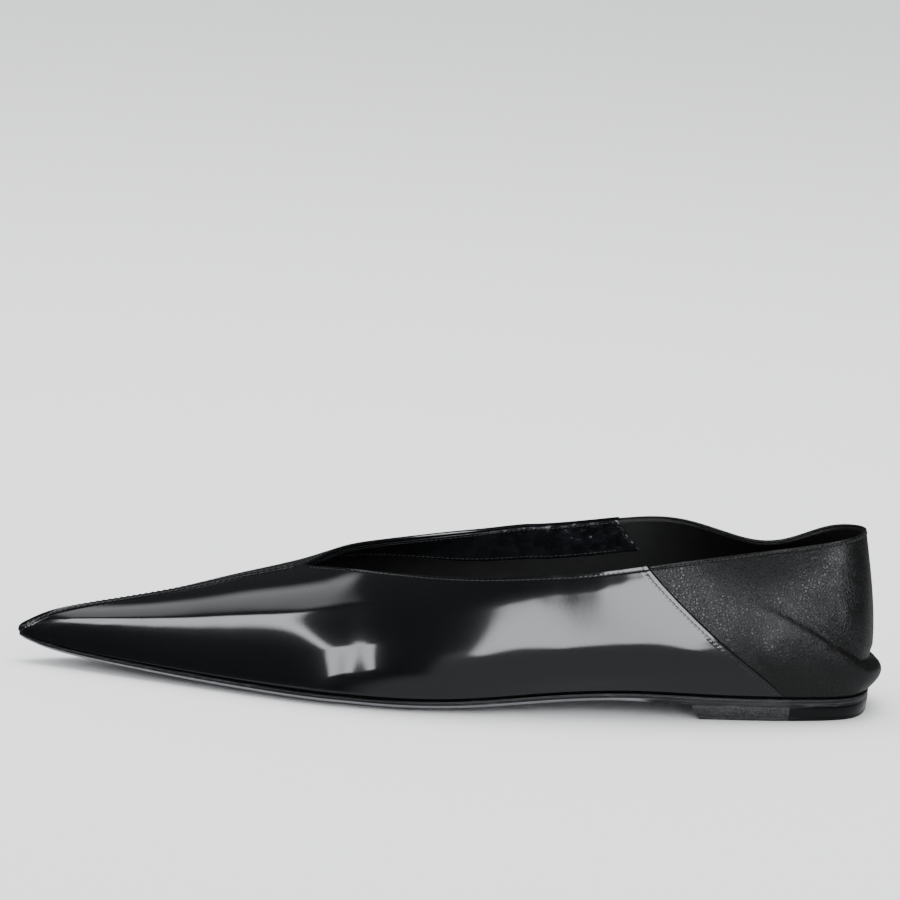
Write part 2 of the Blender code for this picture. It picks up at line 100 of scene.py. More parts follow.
TOP_PIECE = 1.1           # thickness of the heel's top piece
SOCK_ROUND = 0.8          # rounding of the sock's rim
SOCK_CUP = 0.35           # how much the sock's edge is raised, over SOCK_CUP_REACH
SOCK_CUP_REACH = 5.0
PAD_RISE = 0.55           # the arch pad under the sock, the length of its front and of its slope
PAD_FRONT = 8.0
PAD_SLOPE = 1.6
FACING_TOP = 0.75         # the facing's first row under the top edge, and the rounding of its rims
FACING_ROUND = 0.6
CRINKLE_HEIGHT = 0.11

# Looks and stage
OWN = "dressed_"          # before the names of the scene's own materials: the CAD's have the bare names
HEEL_BACK_ROUGHNESS = 0.2 # of the heel's satin cover round the back
SOFT_GLOSS = 0.36         # specular levels of the soft leather, of the sole and of the heel
SOLE_GLOSS = 0.3
HEEL_GLOSS = 0.25
SURROUND_COLOUR = (0.96, 0.98, 1.0)
ROOM_COLOUR = (0.95, 0.975, 1.0, 1.0)
FLOOR_HALF = 8.0          # metres

# Sections of the upper from toe to heel. Shares: along of LENGTH, outer and inner of BALL_WIDTH,
# belly and shoulder in and up of the way to the crown. Millimetres: tuck, seat and tread.
SECTION_COLUMNS = ("along", "outer", "inner", "tuck_outer", "tuck_inner", "seat", "tread", "rim",
                   "belly_in", "belly_up", "shoulder_in", "shoulder_up")
SECTIONS = (
    (0.0000, 0.084, 0.084, 0.0, 0.0, 10.0, 8.6, 0.0, 0.030, 0.32, 0.26, 0.56),
    (0.0145, 0.049, 0.120, 0.2, 0.2, 8.5, 6.4, 0.3, 0.050, 0.32, 0.24, 0.58),
    (0.0435, 0.005, 0.153, 0.3, 0.3, 7.0, 4.2, 0.6, 0.055, 0.31, 0.21, 0.60),
    (0.1014, -0.087, 0.217, 0.4, 0.4, 5.7, 2.3, 1.1, 0.055, 0.31, 0.19, 0.61),
    (0.1739, -0.202, 0.301, 0.6, 0.6, 4.8, 0.9, 1.5, 0.050, 0.31, 0.18, 0.61),
    (0.2464, -0.314, 0.394, 0.8, 1.0, 4.2, 0.2, 1.6, 0.045, 0.31, 0.18, 0.61),
    (0.3188, -0.418, 0.467, 1.2, 1.6, 3.9, 0.0, 1.5, 0.035, 0.32, 0.18, 0.62),
    (0.3659, -0.460, 0.493, 1.6, 2.2, 3.8, 0.0, 1.4, 0.025, 0.33, 0.20, 0.63),
    (0.4167, -0.493, 0.502, 2.1, 3.2, 3.8, 0.0, 1.3, 0.010, 0.34, 0.22, 0.62),
    (0.5000, -0.498, 0.461, 3.0, 5.2, 4.4, 0.7, 1.1, 0.000, 0.36, 0.25, 0.60),
    (0.5942, -0.469, 0.412, 3.8, 6.6, 6.4, 3.0, 0.7, 0.000, 0.36, 0.26, 0.58),
    (0.6884, -0.459, 0.381, 4.6, 6.2, 7.8, 4.8, 0.3, 0.000, 0.34, 0.26, 0.58),
    (0.7754, -0.456, 0.367, 4.4, 4.4, 7.6, 4.7, 0.0, 0.000, 0.30, 0.26, 0.56),
    (0.8551, -0.427, 0.331, 3.4, 3.2, HEEL_HEIGHT, HEEL_TREAD, 0.0, 0.000, 0.28, 0.24, 0.54),
    (0.9170, -0.379, 0.285, 2.2, 2.2, HEEL_HEIGHT, HEEL_TREAD, 0.0, 0.000, 0.26, 0.22, 0.52),
    (0.9540, -0.316, 0.229, 1.4, 1.4, HEEL_HEIGHT, HEEL_TREAD, 0.0, 0.000, 0.26, 0.24, 0.50),
    (0.9745, -0.209, 0.126, 0.8, 0.8, HEEL_HEIGHT, HEEL_TREAD, 0.0, 0.000, 0.28, 0.30, 0.50),
    (0.9845, -0.042, -0.042, 0.6, 0.6, HEEL_HEIGHT, HEEL_TREAD, 0.0, 0.000, 0.30, 0.36, 0.50),
)

# Top of each section: the ridge of the toe, then a crown over the throat, then the top edge itself.
# Shares: along of LENGTH, y of BALL_WIDTH, z of BACK_HEIGHT.
CROWN_COLUMNS = ("along", "outer_y", "outer_z", "inner_y", "inner_z")
CROWN = (
    (0.0000, 0.084, 0.184, 0.084, 0.184),
    (0.0145, 0.083, 0.238, 0.083, 0.238),
    (0.0435, 0.081, 0.297, 0.081, 0.297),
    (0.1014, 0.075, 0.360, 0.075, 0.360),
    (0.1739, 0.068, 0.436, 0.068, 0.436),
    (0.2464, 0.061, 0.528, 0.061, 0.528),
    (0.3188, 0.053, 0.614, 0.053, 0.614),
    (0.3659, 0.030, 0.688, 0.100, 0.694),
    (0.4167, -0.090, 0.729, 0.190, 0.745),
    (0.5000, -0.300, 0.755, 0.345, 0.792),
    (0.5942, -0.375, 0.762, 0.389, 0.798),
    (0.6884, -0.367, 0.824, 0.369, 0.860),
    (0.7699, -0.311, 0.874, 0.292, 0.902),
    (0.8406, -0.206, 0.893, 0.112, 0.860),
    (0.8913, -0.192, 0.929, 0.078, 0.893),
    (0.9293, -0.199, 0.971, 0.098, 0.953),
    (0.9565, -0.136, 0.990, 0.042, 0.988),
    (0.9667, -0.047, 0.998, -0.047, 0.998),
)

# Where the throat is cut through the crown. Shares of BALL_WIDTH.
THROAT_COLUMNS = ("station", "outer_y", "inner_y")
THROAT = (
    (6, 0.053, 0.053),
    (7, -0.130, 0.192),
    (8, -0.235, 0.294),
    (9, -0.342, 0.375),
    (10, -0.375, 0.389),
)
THROAT_OPENING = (-0.25, 0.17)    # slope of the two edges at the point of the throat, a station
POINT_OF_THROAT = 6
THROAT_END = 10
BACK = len(SECTIONS) - 1

# The seam between vamp and back panel, as stations at the foot and at the top edge
SEAM_FOOT = 13.25
SEAM_TOP = 11.12
SEAM_BOW = 0.5
SEAM_FAN = 8.5

# The fold in the soft back, in millimetres: its crease falls towards the heel's back. The leather
# tucks in above it, and a roll of leather bulges below it.
FOLD_COLUMNS = ("station", "height", "bulge", "tuck")
FOLD = (
    (12.60, 39.0, 0.0, 0.0),
    (13.10, 34.8, 0.3, 0.4),
    (13.65, 29.6, 0.6, 0.9),
    (14.10, 25.2, 1.0, 1.1),
    (14.70, 21.4, 1.6, 1.2),
    (15.30, 18.6, 2.4, 1.1),
    (16.30, 17.3, 3.5, 0.9),
    (17.00, 16.5, 4.1, 0.7),
)
ROLL_HEIGHT = 10.5
TUCK_ABOVE = 5.0
TUCK_BELOW = 1.7

WAIST_AT = 172.4          # the outer quarter's swell: where along the shoe, its height and reach
WAIST_SWELL = 0.9
WAIST_REACH = 26.0

# Rows of a skin under its top edge, in millimetres, close together at the fold and its stitches
BAND = np.array([0.0, 0.22, 0.45, 0.7, 0.95, 1.2, 1.45, 1.7, 1.95, 2.2, 2.5, 3.0, 3.7, 4.6, 5.8])
STITCH_IN = 1.55          # stitch row to edge
RIDGE_ROW = 1.45          # stitch row to the middle of the toe's seam

# The heel's grainy stack, in the frame: from its breast to where its cover begins
BREAST_X = (BREAST_TOP - MIDDLE_X) * MM
WRAP_X = (241.4 - MIDDLE_X) * MM

# Camera, measured from the shoe's middle
AIM = (138.0, 0.0, 25.0)          # the point the camera was fitted to, millimetres from the toe tip
AIM_PIXEL = (457.2, 607.0)        # where that point is in the picture
PIXELS_PER_MM = 3.1427            # scale of the picture at that point
PICTURE = 900
CAMERA_AWAY = 1600.0
CAMERA_AZIMUTH = -7.49
CAMERA_ELEVATION = 13.0
CAMERA_ROLL = -4.12
SENSOR = 36.0


def named(columns, rows, name):
    """One column of a table, as an array."""
    return np.array([row[columns.index(name)] for row in rows], float)


def spline(values, at, start=None, end=None):
    """Cubic spline through values at 0, 1, 2..., natural or with the end slopes that are given."""
    count = len(values)
    system = np.eye(count)
    right = np.zeros(count)
    for i in range(1, count - 1):
        system[i, i - 1:i + 2] = 1.0, 4.0, 1.0
        right[i] = 6.0 * (values[i - 1] - 2.0 * values[i] + values[i + 1])
    if start is not None:
        system[0, :2] = 2.0, 1.0
        right[0] = 6.0 * (values[1] - values[0] - start)
    if end is not None:
        system[-1, -2:] = 1.0, 2.0
        right[-1] = 6.0 * (end - values[-1] + values[-2])
    bend = np.linalg.solve(system, right)
    i = np.clip(np.floor(at).astype(int), 0, count - 2)
    t = at - i
    s = 1.0 - t
    return (values[i] * s + values[i + 1] * t
            + (bend[i] * (s ** 3 - s) + bend[i + 1] * (t ** 3 - t)) / 6.0)


def smooth_step(t):
    """0 below 0, 1 above 1, smooth between."""
    t = np.clip(t, 0.0, 1.0)
    return t * t * (3.0 - 2.0 * t)


def section(name, station):
    """A column of SECTIONS at any station."""
    level = 0.0 if name == "along" else None
    return spline(named(SECTION_COLUMNS, SECTIONS, name), station, level, level)


def outline(station, side):
    """Widest line of the upper in plan. side is -1 outer, +1 inner."""
    x = LENGTH * section("along", station)
    y = BALL_WIDTH * section("outer" if side < 0 else "inner", station)
    return np.stack([x, y], -1)


def outward(station, side):
    """Unit vector in plan, square to the outline and away from the foot."""
    step = 1e-3
    along = outline(np.clip(station + step, 0, BACK), side)
    along = along - outline(np.clip(station - step, 0, BACK), side)
    along /= np.linalg.norm(along, axis=-1, keepdims=True)
    away = side * np.stack([-along[..., 1], along[..., 0]], -1)
    away[station <= 0.0] = (-1.0, 0.0)
    away[station >= BACK] = (1.0, 0.0)
    return away


def parted(what, station, side, end=None):
    """Mean of a crown column's two sides, and from the throat on half of their difference."""
    outer = named(CROWN_COLUMNS, CROWN, "outer_" + what)
    inner = named(CROWN_COLUMNS, CROWN, "inner_" + what)
    mean = spline(0.5 * (outer + inner), station, end=end)
    past = np.clip(station - POINT_OF_THROAT, 0.0, BACK)
    return mean + side * spline(0.5 * (inner - outer)[POINT_OF_THROAT:], past, start=0.0)


def crown(station, side):
    """Top of the section at a station: ridge, imagined crown over the throat, then top edge."""
    x = LENGTH * spline(named(CROWN_COLUMNS, CROWN, "along"), station, start=0.0, end=0.0)
    y = BALL_WIDTH * parted("y", station, side)
    z = BACK_HEIGHT * parted("z", station, side, end=0.0)
    return np.stack([x, y, z], -1)


def through(points, v):
    """Natural cubic curve through four points, v from 0 to 1 by the length of its chords."""
    chords = np.linalg.norm(np.diff(points, axis=0), axis=-1) + 1e-9
    h = chords / chords.sum(0)
    slopes = np.diff(points, axis=0) / h[..., None]
    a, b, c = 2.0 * (h[0] + h[1]), h[1], 2.0 * (h[1] + h[2])
    first, second = 6.0 * (slopes[1] - slopes[0]), 6.0 * (slopes[2] - slopes[1])
    size = (a * c - b * b)[..., None]
    bend_1 = (first * c[..., None] - second * b[..., None]) / size
    bend_2 = (second * a[..., None] - first * b[..., None]) / size
    none = np.zeros_like(bend_1)
    bends = (none, bend_1, bend_2, none)
    starts = (np.zeros_like(v), h[0], h[0] + h[1])
    result = np.zeros(v.shape + (3,))
    for i in range(3):
        t = ((v - starts[i]) / h[i])[..., None]
        s = 1.0 - t
        curve = (points[i] * s + points[i + 1] * t
                 + (bends[i] * (s ** 3 - s) + bends[i + 1] * (t ** 3 - t))
                 * (h[i] ** 2)[..., None] / 6.0)
        inside = v >= starts[i]
        result[inside] = curve[inside]
    return result


def last_form(station, v, side):
    """The last: foot, belly, shoulder and crown of each section joined by a smooth curve."""
    which = "outer" if side < 0 else "inner"
    edge, away, top = outline(station, side), outward(station, side), crown(station, side)
    seat = section("seat", station)
    tuck = section("tuck_" + which, station)[..., None]
    reach = np.abs(top[..., 1] - edge[..., 1])
    rise = top[..., 2] - seat
    foot = np.concatenate([edge - away * tuck, seat[..., None]], -1)
    belly_in = (section("belly_in", station) * reach)[..., None]
    belly_up = (seat + section("belly_up", station) * rise)[..., None]
    belly = np.concatenate([edge - away * belly_in, belly_up], -1)
    inwards, upwards = section("shoulder_in", station), section("shoulder_up", station)
    shoulder = belly + (top - belly) * np.stack([inwards, inwards, upwards], -1)
    return through(np.stack([foot, belly, shoulder, top]), v)


def throat_cut(side):
    """Share of the section below the throat's edge at each of TABLE, by halving on the edge's y."""
    which, opening = ("outer_y", THROAT_OPENING[0]) if side < 0 else ("inner_y", THROAT_OPENING[1])
    local = np.clip(TABLE - POINT_OF_THROAT, 0.0, THROAT_END - POINT_OF_THROAT)
    edge = BALL_WIDTH * spline(named(THROAT_COLUMNS, THROAT, which), local, start=opening)
    low, high = np.full(TABLE.shape, 0.6), np.ones(TABLE.shape)
    for _ in range(26):
        middle = 0.5 * (low + high)
        past = side * (last_form(TABLE, middle, side)[..., 1] - edge) < 0.0
        high = np.where(past, middle, high)
        low = np.where(past, low, middle)
    return np.where((TABLE > POINT_OF_THROAT) & (TABLE < THROAT_END), high, 1.0)


def section_length(side):
    """Length of each section of TABLE from its foot to its top edge, and how much longer the way
    along the section is than the square way, where the edge runs slantwise to it."""
    v = np.linspace(0.0, 1.0, 41)
    station = np.broadcast_to(TABLE[:, None], (len(TABLE), len(v)))
    column = last_form(station, v * CUT[side][:, None], side)
    length = np.linalg.norm(np.diff(column, axis=1), axis=-1).sum(1)
    edge = np.gradient(column[:, -1], axis=0)
    up = column[:, -1] - column[:, -2]
    cross = np.linalg.norm(np.cross(edge, up), axis=-1)
    size = np.linalg.norm(edge, axis=-1) * np.linalg.norm(up, axis=-1)
    slant = np.clip(size / np.maximum(cross, 1e-9), 1.0, 1.6)
    slant[(TABLE < POINT_OF_THROAT) | (TABLE > BACK - 0.5)] = 1.0
    return length, slant


TABLE = np.linspace(0.0, BACK, 1701)
CUT = {side: throat_cut(side) for side in (-1, 1)}
WAY = {side: section_length(side) for side in (-1, 1)}


def height_at(distance, station, side):
    """v of a point that lies distance under the top edge."""
    length = np.interp(station, TABLE, WAY[side][0])
    slant = np.interp(station, TABLE, WAY[side][1])
    return 1.0 - distance * slant / length


def square_length(station, side):
    """Length of a section from its foot to the top edge, measured square to the edge."""
    return np.interp(station, TABLE, WAY[side][0]) / np.interp(station, TABLE, WAY[side][1])


def normal(station, v, side, trim):
    """Unit normal of the last, away from the foot."""
    step = 1e-3
    back, front = np.clip(station - step, 0, BACK), np.clip(station + step, 0, BACK)
    low, high = np.clip(v - step, 0, 1), np.clip(v + step, 0, 1)
    along = last_form(front, v * trim, side) - last_form(back, v * trim, side)
    up = last_form(station, high * trim, side) - last_form(station, low * trim, side)
    across = side * np.cross(up, along)
    across /= np.linalg.norm(across, axis=-1, keepdims=True)
    across[station <= 0.0] = (-1.0, 0.0, 0.0)
    across[station >= BACK, 1] = 0.0
    across[(station <= POINT_OF_THROAT) & (v > 0.999)] = (0.0, 0.0, 1.0)
    return across


def fold_relief(station, z):
    """The fold, in millimetres. Above the crease the leather tucks in over TUCK_ABOVE, at the crease
    it comes out again over TUCK_BELOW, and below it a half wave makes the roll."""
    stations = named(FOLD_COLUMNS, FOLD, "station")
    height, bulge, tuck = (np.interp(station, stations, named(FOLD_COLUMNS, FOLD, name))
                           for name in FOLD_COLUMNS[1:])
    down = np.clip((height - z) / ROLL_HEIGHT, 0.0, 1.0)
    roll = np.sin(np.pi * down ** 0.75)
    above = 1.0 - smooth_step((z - height) / TUCK_ABOVE)
    below = 1.0 - smooth_step((height - z) / TUCK_BELOW)
    return bulge * roll - tuck * np.where(z > height, above, below)


def edge_relief(distance, station, row):
    """The folded edge stands a little proud, and the stitches pull a groove under it."""
    open_edge = smooth_step((station - POINT_OF_THROAT) / 0.15)
    bead = 0.10 * open_edge * smooth_step((row - 0.1 - distance) / 0.4)
    groove = 0.10 * np.exp(-((distance - row) / 0.22) ** 2)
    return bead - groove


def waist_relief(x, v, side):
    """The outer quarter swells a little between ball and heel, in millimetres: a bell along the shoe
    that fades towards the foot and the top edge."""
    bell = np.exp(-((x - WAIST_AT) / WAIST_REACH) ** 2)
    return (side < 0) * WAIST_SWELL * bell * smooth_step(v / 0.18) * smooth_step((1.0 - v) / 0.2)


def upper_point(station, v, side, panel, distance=None):
    """Outer face of the upper and its normal. v is 0 at the foot and 1 at the top edge."""
    trim = np.interp(station, TABLE, CUT[side])
    place = last_form(station, v * trim, side)
    away = normal(station, v, side, trim)
    if panel == "vamp":
        from_ridge = np.linalg.norm(place - crown(station, side), axis=-1)
        fade = smooth_step((POINT_OF_THROAT - station) / 0.15)
        relief = SEAM_RISE * fade * smooth_step((SEAM_HALF + 0.2 - from_ridge) / 0.4)
        relief = relief + waist_relief(place[..., 0], v, side)
    else:
        near_seam = smooth_step(1.0 - (station - SEAM_TOP) / 3.5)
        relief = fold_relief(station, place[..., 2]) - OVERLAP_STEP * near_seam
    if distance is not None:
        row = np.where(station < POINT_OF_THROAT, RIDGE_ROW, STITCH_IN)
        relief = relief + edge_relief(distance, station, row)
    return place + away * relief[..., None], away


def under(station, v, side, panel, depth):
    """A point of the upper at a depth under its outer face, and the outer normal there. Towards the
    foot the depth turns level, and along the toe's ridge it goes straight down."""
    outer, away = upper_point(station, v, side, panel)
    flat = away.copy()
    flat[..., 2] = 0.0
    flat /= np.maximum(np.linalg.norm(flat, axis=-1, keepdims=True), 1e-9)
    level = (1.0 - smooth_step(v / 0.08))[..., None]
    thick = away * (1.0 - level) + flat * level
    ridge = (station <= POINT_OF_THROAT) & (v > 0.999)
    thick[ridge] = (0.0, 0.0, 1.15)
    return outer - depth * thick, away


def seam_station(v):
    """Station of the slanted seam at each height."""
    return SEAM_FOOT + (SEAM_TOP - SEAM_FOOT) * v * (1.0 + SEAM_BOW * (1.0 - v))


def station_gap(station, distance):
    """A distance along the shoe as a difference of stations."""
    step = 0.01
    return distance * 2.0 * step / (LENGTH * (section("along", station + step)
                                              - section("along", station - step)))


def to_frame(points):
    """Millimetres from the toe tip to metres in the frame."""
    return (np.asarray(points, float) - (MIDDLE_X, 0.0, 0.0)) * MM


def row_distances(station, side, count):
    """Distances under the top edge of a skin's rows, from the foot up, at each station."""
    length = square_length(station, side)
    squeeze = np.minimum(1.0, 0.6 * length / BAND[-1])[:, None]
    band = BAND[None, :] * squeeze
    share = np.linspace(0.0, 1.0, count, endpoint=False)[None, :]
    lower = length[:, None] * (1.0 - share) + band[:, -1:] * share
    return np.concatenate([lower, band[:, ::-1]], 1)


class Shell:
    """Gathers grids of points, with the quads and the sewing coordinates over them, for one mesh."""

    def __init__(self):
        self.points, self.faces, self.sewing = [], [], []
        self.count = 0

    def grid(self, points, sewing=None):
        """Adds a sheet of quads over a grid of points and returns the numbers of its vertices."""
        size = points[..., 0].size
        index = np.arange(size).reshape(points.shape[:2]) + self.count
        self.points.append(points.reshape(-1, 3))
        blank = np.zeros(points.shape[:2] + (4,)) + (0.0, 99.0, 0.0, 99.0)
        self.sewing.append((blank if sewing is None else sewing).reshape(-1, 4))
        self.count += size
        self.quads(index[:-1, :-1], index[1:, :-1], index[1:, 1:], index[:-1, 1:])
        return index

    def quads(self, a, b, c, d):
        """Adds quads from four arrays of vertex numbers."""
        self.faces.append(np.stack([a, b, c, d], -1).reshape(-1, 4))

    def strip(self, one, two):
        """Adds quads between two rows of vertices."""
        self.quads(one[:-1], one[1:], two[1:], two[:-1])

    def mesh(self, name, sharp=None):
        """The mesh: doubles merged, faces turned outwards, sewing coordinates as two UV maps."""
        mesh = bpy.data.meshes.new(name)
        points = to_frame(np.concatenate(self.points))
        faces = np.concatenate(self.faces)
        mesh.from_pydata(points.tolist(), [], faces.tolist())
        corner = np.empty(len(mesh.loops), int)
        mesh.loops.foreach_get("vertex_index", corner)
        sewing = np.concatenate(self.sewing)[corner]
        for uv_name, pair in (("top_row", sewing[:, :2]), ("seam_row", sewing[:, 2:])):
            layer = mesh.uv_layers.new(name=uv_name)
            layer.data.foreach_set("uv", pair.astype(np.float32).ravel())
        shell = bmesh.new()
        shell.from_mesh(mesh)
        bmesh.ops.remove_doubles(shell, verts=shell.verts, dist=3e-6)
        bmesh.ops.dissolve_degenerate(shell, edges=shell.edges, dist=1e-7)
        bmesh.ops.recalc_face_normals(shell, faces=shell.faces)
        shell.to_mesh(mesh)
        shell.free()
        mesh.shade_smooth()
        if sharp is not None:
            mesh.set_sharp_from_angle(angle=sharp)
        return mesh


def place(name, mesh, material, slot, replaced=()):
    """The object for a mesh, riding on the shoe's one body, in place of the nodes it stands for."""
    piece = bpy.data.objects.new(name, mesh)
    bpy.context.scene.collection.objects.link(piece)
    mesh.materials.append(material)
    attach(piece, "root")
    if replaced:
        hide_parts(*replaced)
    return piece


def rounded(outer, inner, bulge, steps):
    """Rows between two edges: half an ellipse from outer to inner, bulging by the vector bulge."""
    angle = np.linspace(0.0, np.pi, steps + 2)[1:-1]
    middle, half = 0.5 * (outer + inner), 0.5 * (outer - inner)
    return (middle[:, None] + half[:, None] * np.cos(angle)[None, :, None]
            + bulge[:, None] * np.sin(angle)[None, :, None])


def unit(vectors):
    """Vectors of length one."""
    return vectors / np.maximum(np.linalg.norm(vectors, axis=-1, keepdims=True), 1e-9)


def vamp_grid(side):
    """Stations, heights, distances under the top edge and distances before the slanted seam, for
    one side of the vamp. Columns are upright as far as SEAM_FAN and then lean to the seam."""
    upright = np.concatenate([
        np.linspace(0.0, 1.0, 22, endpoint=False), np.linspace(1.0, 5.7, 86, endpoint=False),
        np.linspace(5.7, 6.5, 30, endpoint=False), np.linspace(6.5, SEAM_FAN, 30, endpoint=False)])
    fan = np.concatenate([np.linspace(0.0, 0.92, 58, endpoint=False), np.linspace(0.92, 1.0, 17)])
    top_station = np.concatenate([upright, SEAM_FAN + (SEAM_TOP - SEAM_FAN) * fan])
    distance = row_distances(top_station, side, 32)
    inset = EDGE_ROUND * smooth_step((top_station - POINT_OF_THROAT) / 0.25)
    distance = np.maximum(distance, inset[:, None] + 0.02 * distance)
    v = np.clip(height_at(distance, top_station[:, None], side), 0.0, 1.0)
    station = np.repeat(top_station[:, None], v.shape[1], 1)
    leaning = v[len(upright):]
    end = seam_station(leaning)
    end = end - station_gap(end, SEAM_CLEAR + 0.3)
    station[len(upright):] = SEAM_FAN + (end - SEAM_FAN) * fan[:, None]
    before = np.full(v.shape, 99.0)
    along = LENGTH * (section("along", end) - section("along", station[len(upright):]))
    before[len(upright):] = along * SEAM_SINE
    return station, v, distance, before


def make_row(points, normals, pitch):
    """Evenly spaced places along a path, pitch apart: points, normals, and where the path's own
    points lie along it, in stitches."""
    steps = np.linalg.norm(np.diff(points, axis=0), axis=-1)
    length = np.concatenate([[0.0], np.cumsum(steps)])
    count = int(length[-1] / pitch)
    at = (np.arange(count) + 0.5) * pitch
    centre = np.stack([np.interp(at, length, points[:, k]) for k in range(3)], -1)
    facing = unit(np.stack([np.interp(at, length, normals[:, k]) for k in range(3)], -1))
    ahead = np.stack([np.interp(at + 0.1, length, points[:, k]) for k in range(3)], -1)
    behind = np.stack([np.interp(at - 0.1, length, points[:, k]) for k in range(3)], -1)
    return centre, facing, unit(ahead - behind), length / pitch


def stitches(rows, pitch, thread, lean):
    """One mesh of stitches. Each is a six sided thread with five rings: its middle arches over the
    leather along its row, its ends dip into their holes, and it leans a little across the row."""
    ring_at = np.array([-0.5, -0.36, 0.0, 0.36, 0.5])
    ring_size = np.array([0.55, 0.95, 1.0, 0.95, 0.55])
    ring_lift = np.array([-0.9, 0.25, 0.75, 0.25, -0.9])
    angle = np.arange(6) * np.pi / 3.0
    centre, facing, along = (np.concatenate([row[k] for row in rows]) for k in range(3))
    across = np.cross(facing, along)
    way = unit(along + lean * across)
    wide = np.cross(facing, way)
    reach = 0.86 * pitch
    middle = (centre[:, None] + way[:, None] * (reach * ring_at)[None, :, None]
              + facing[:, None] * (thread * ring_lift)[None, :, None])
    round_the = (wide[:, None, None] * np.cos(angle)[None, None, :, None]
                 + facing[:, None, None] * np.sin(angle)[None, None, :, None])
    verts = middle[:, :, None] + round_the * (thread * ring_size)[None, :, None, None]
    count = len(centre)
    index = np.arange(count * 30).reshape(count, 5, 6)
    turned = np.roll(index, -1, 2)
    sides = np.stack([index[:, :-1], turned[:, :-1], turned[:, 1:], index[:, 1:]], -1).reshape(-1, 4)
    caps = [index[:, 0, ::-1].reshape(-1, 6), index[:, -1].reshape(-1, 6)]
    mesh = bpy.data.meshes.new("stitches")
    faces = sides.tolist() + caps[0].tolist() + caps[1].tolist()
    mesh.from_pydata(to_frame(verts.reshape(-1, 3)).tolist(), [], faces)
    mesh.shade_smooth()
    return mesh


def top_path(side, panel, start, end, distance, depth=0.0):
    """Points and normals of a row that runs at a distance under the top edge."""
    station = np.linspace(start, end, 900)
    row = np.full(station.shape, float(distance))
    if panel == "vamp":
        row = np.where(station < POINT_OF_THROAT, RIDGE_ROW, distance)
    length = np.interp(station, TABLE, WAY[side][0])
    row = np.minimum(row, 0.35 * length)
    v = height_at(row, station, side)
    if depth:
        points, away = under(station, v, side, "back", depth)
        return points, -away, station
    points, away = upper_point(station, v, side, panel, row)
    return points, away, station


def seam_path(side, panel, before, low, high, depth=0.0):
    """Points and normals of a row beside the slanted seam, from the height low to high. before is
    its distance in front of the seam."""
    v = np.linspace(low, high, 700)
    station = seam_station(v)
    station = station - station_gap(station, before / SEAM_SINE)
    if depth:
        points, away = under(station, v, side, panel, depth)
        return points, -away, v
    points, away = upper_point(station, v, side, panel)
    return points, away, v


def stitch_count(side, sewing):
    """Stitches along the vamp's top row at each station: toe pitch first, then the throat's."""
    parts = ((0.18, POINT_OF_THROAT - 0.05, sewing.toe_pitch),
             (POINT_OF_THROAT + 0.1, SEAM_TOP - 0.04, sewing.pitch))
    counts, stations = [], []
    for start, end, pitch in parts:
        path, _, station = top_path(side, "vamp", start, end, STITCH_IN)
        counts.append(make_row(path, path, pitch / MM)[3])
        stations.append(station)
    return np.concatenate(counts), np.concatenate(stations)


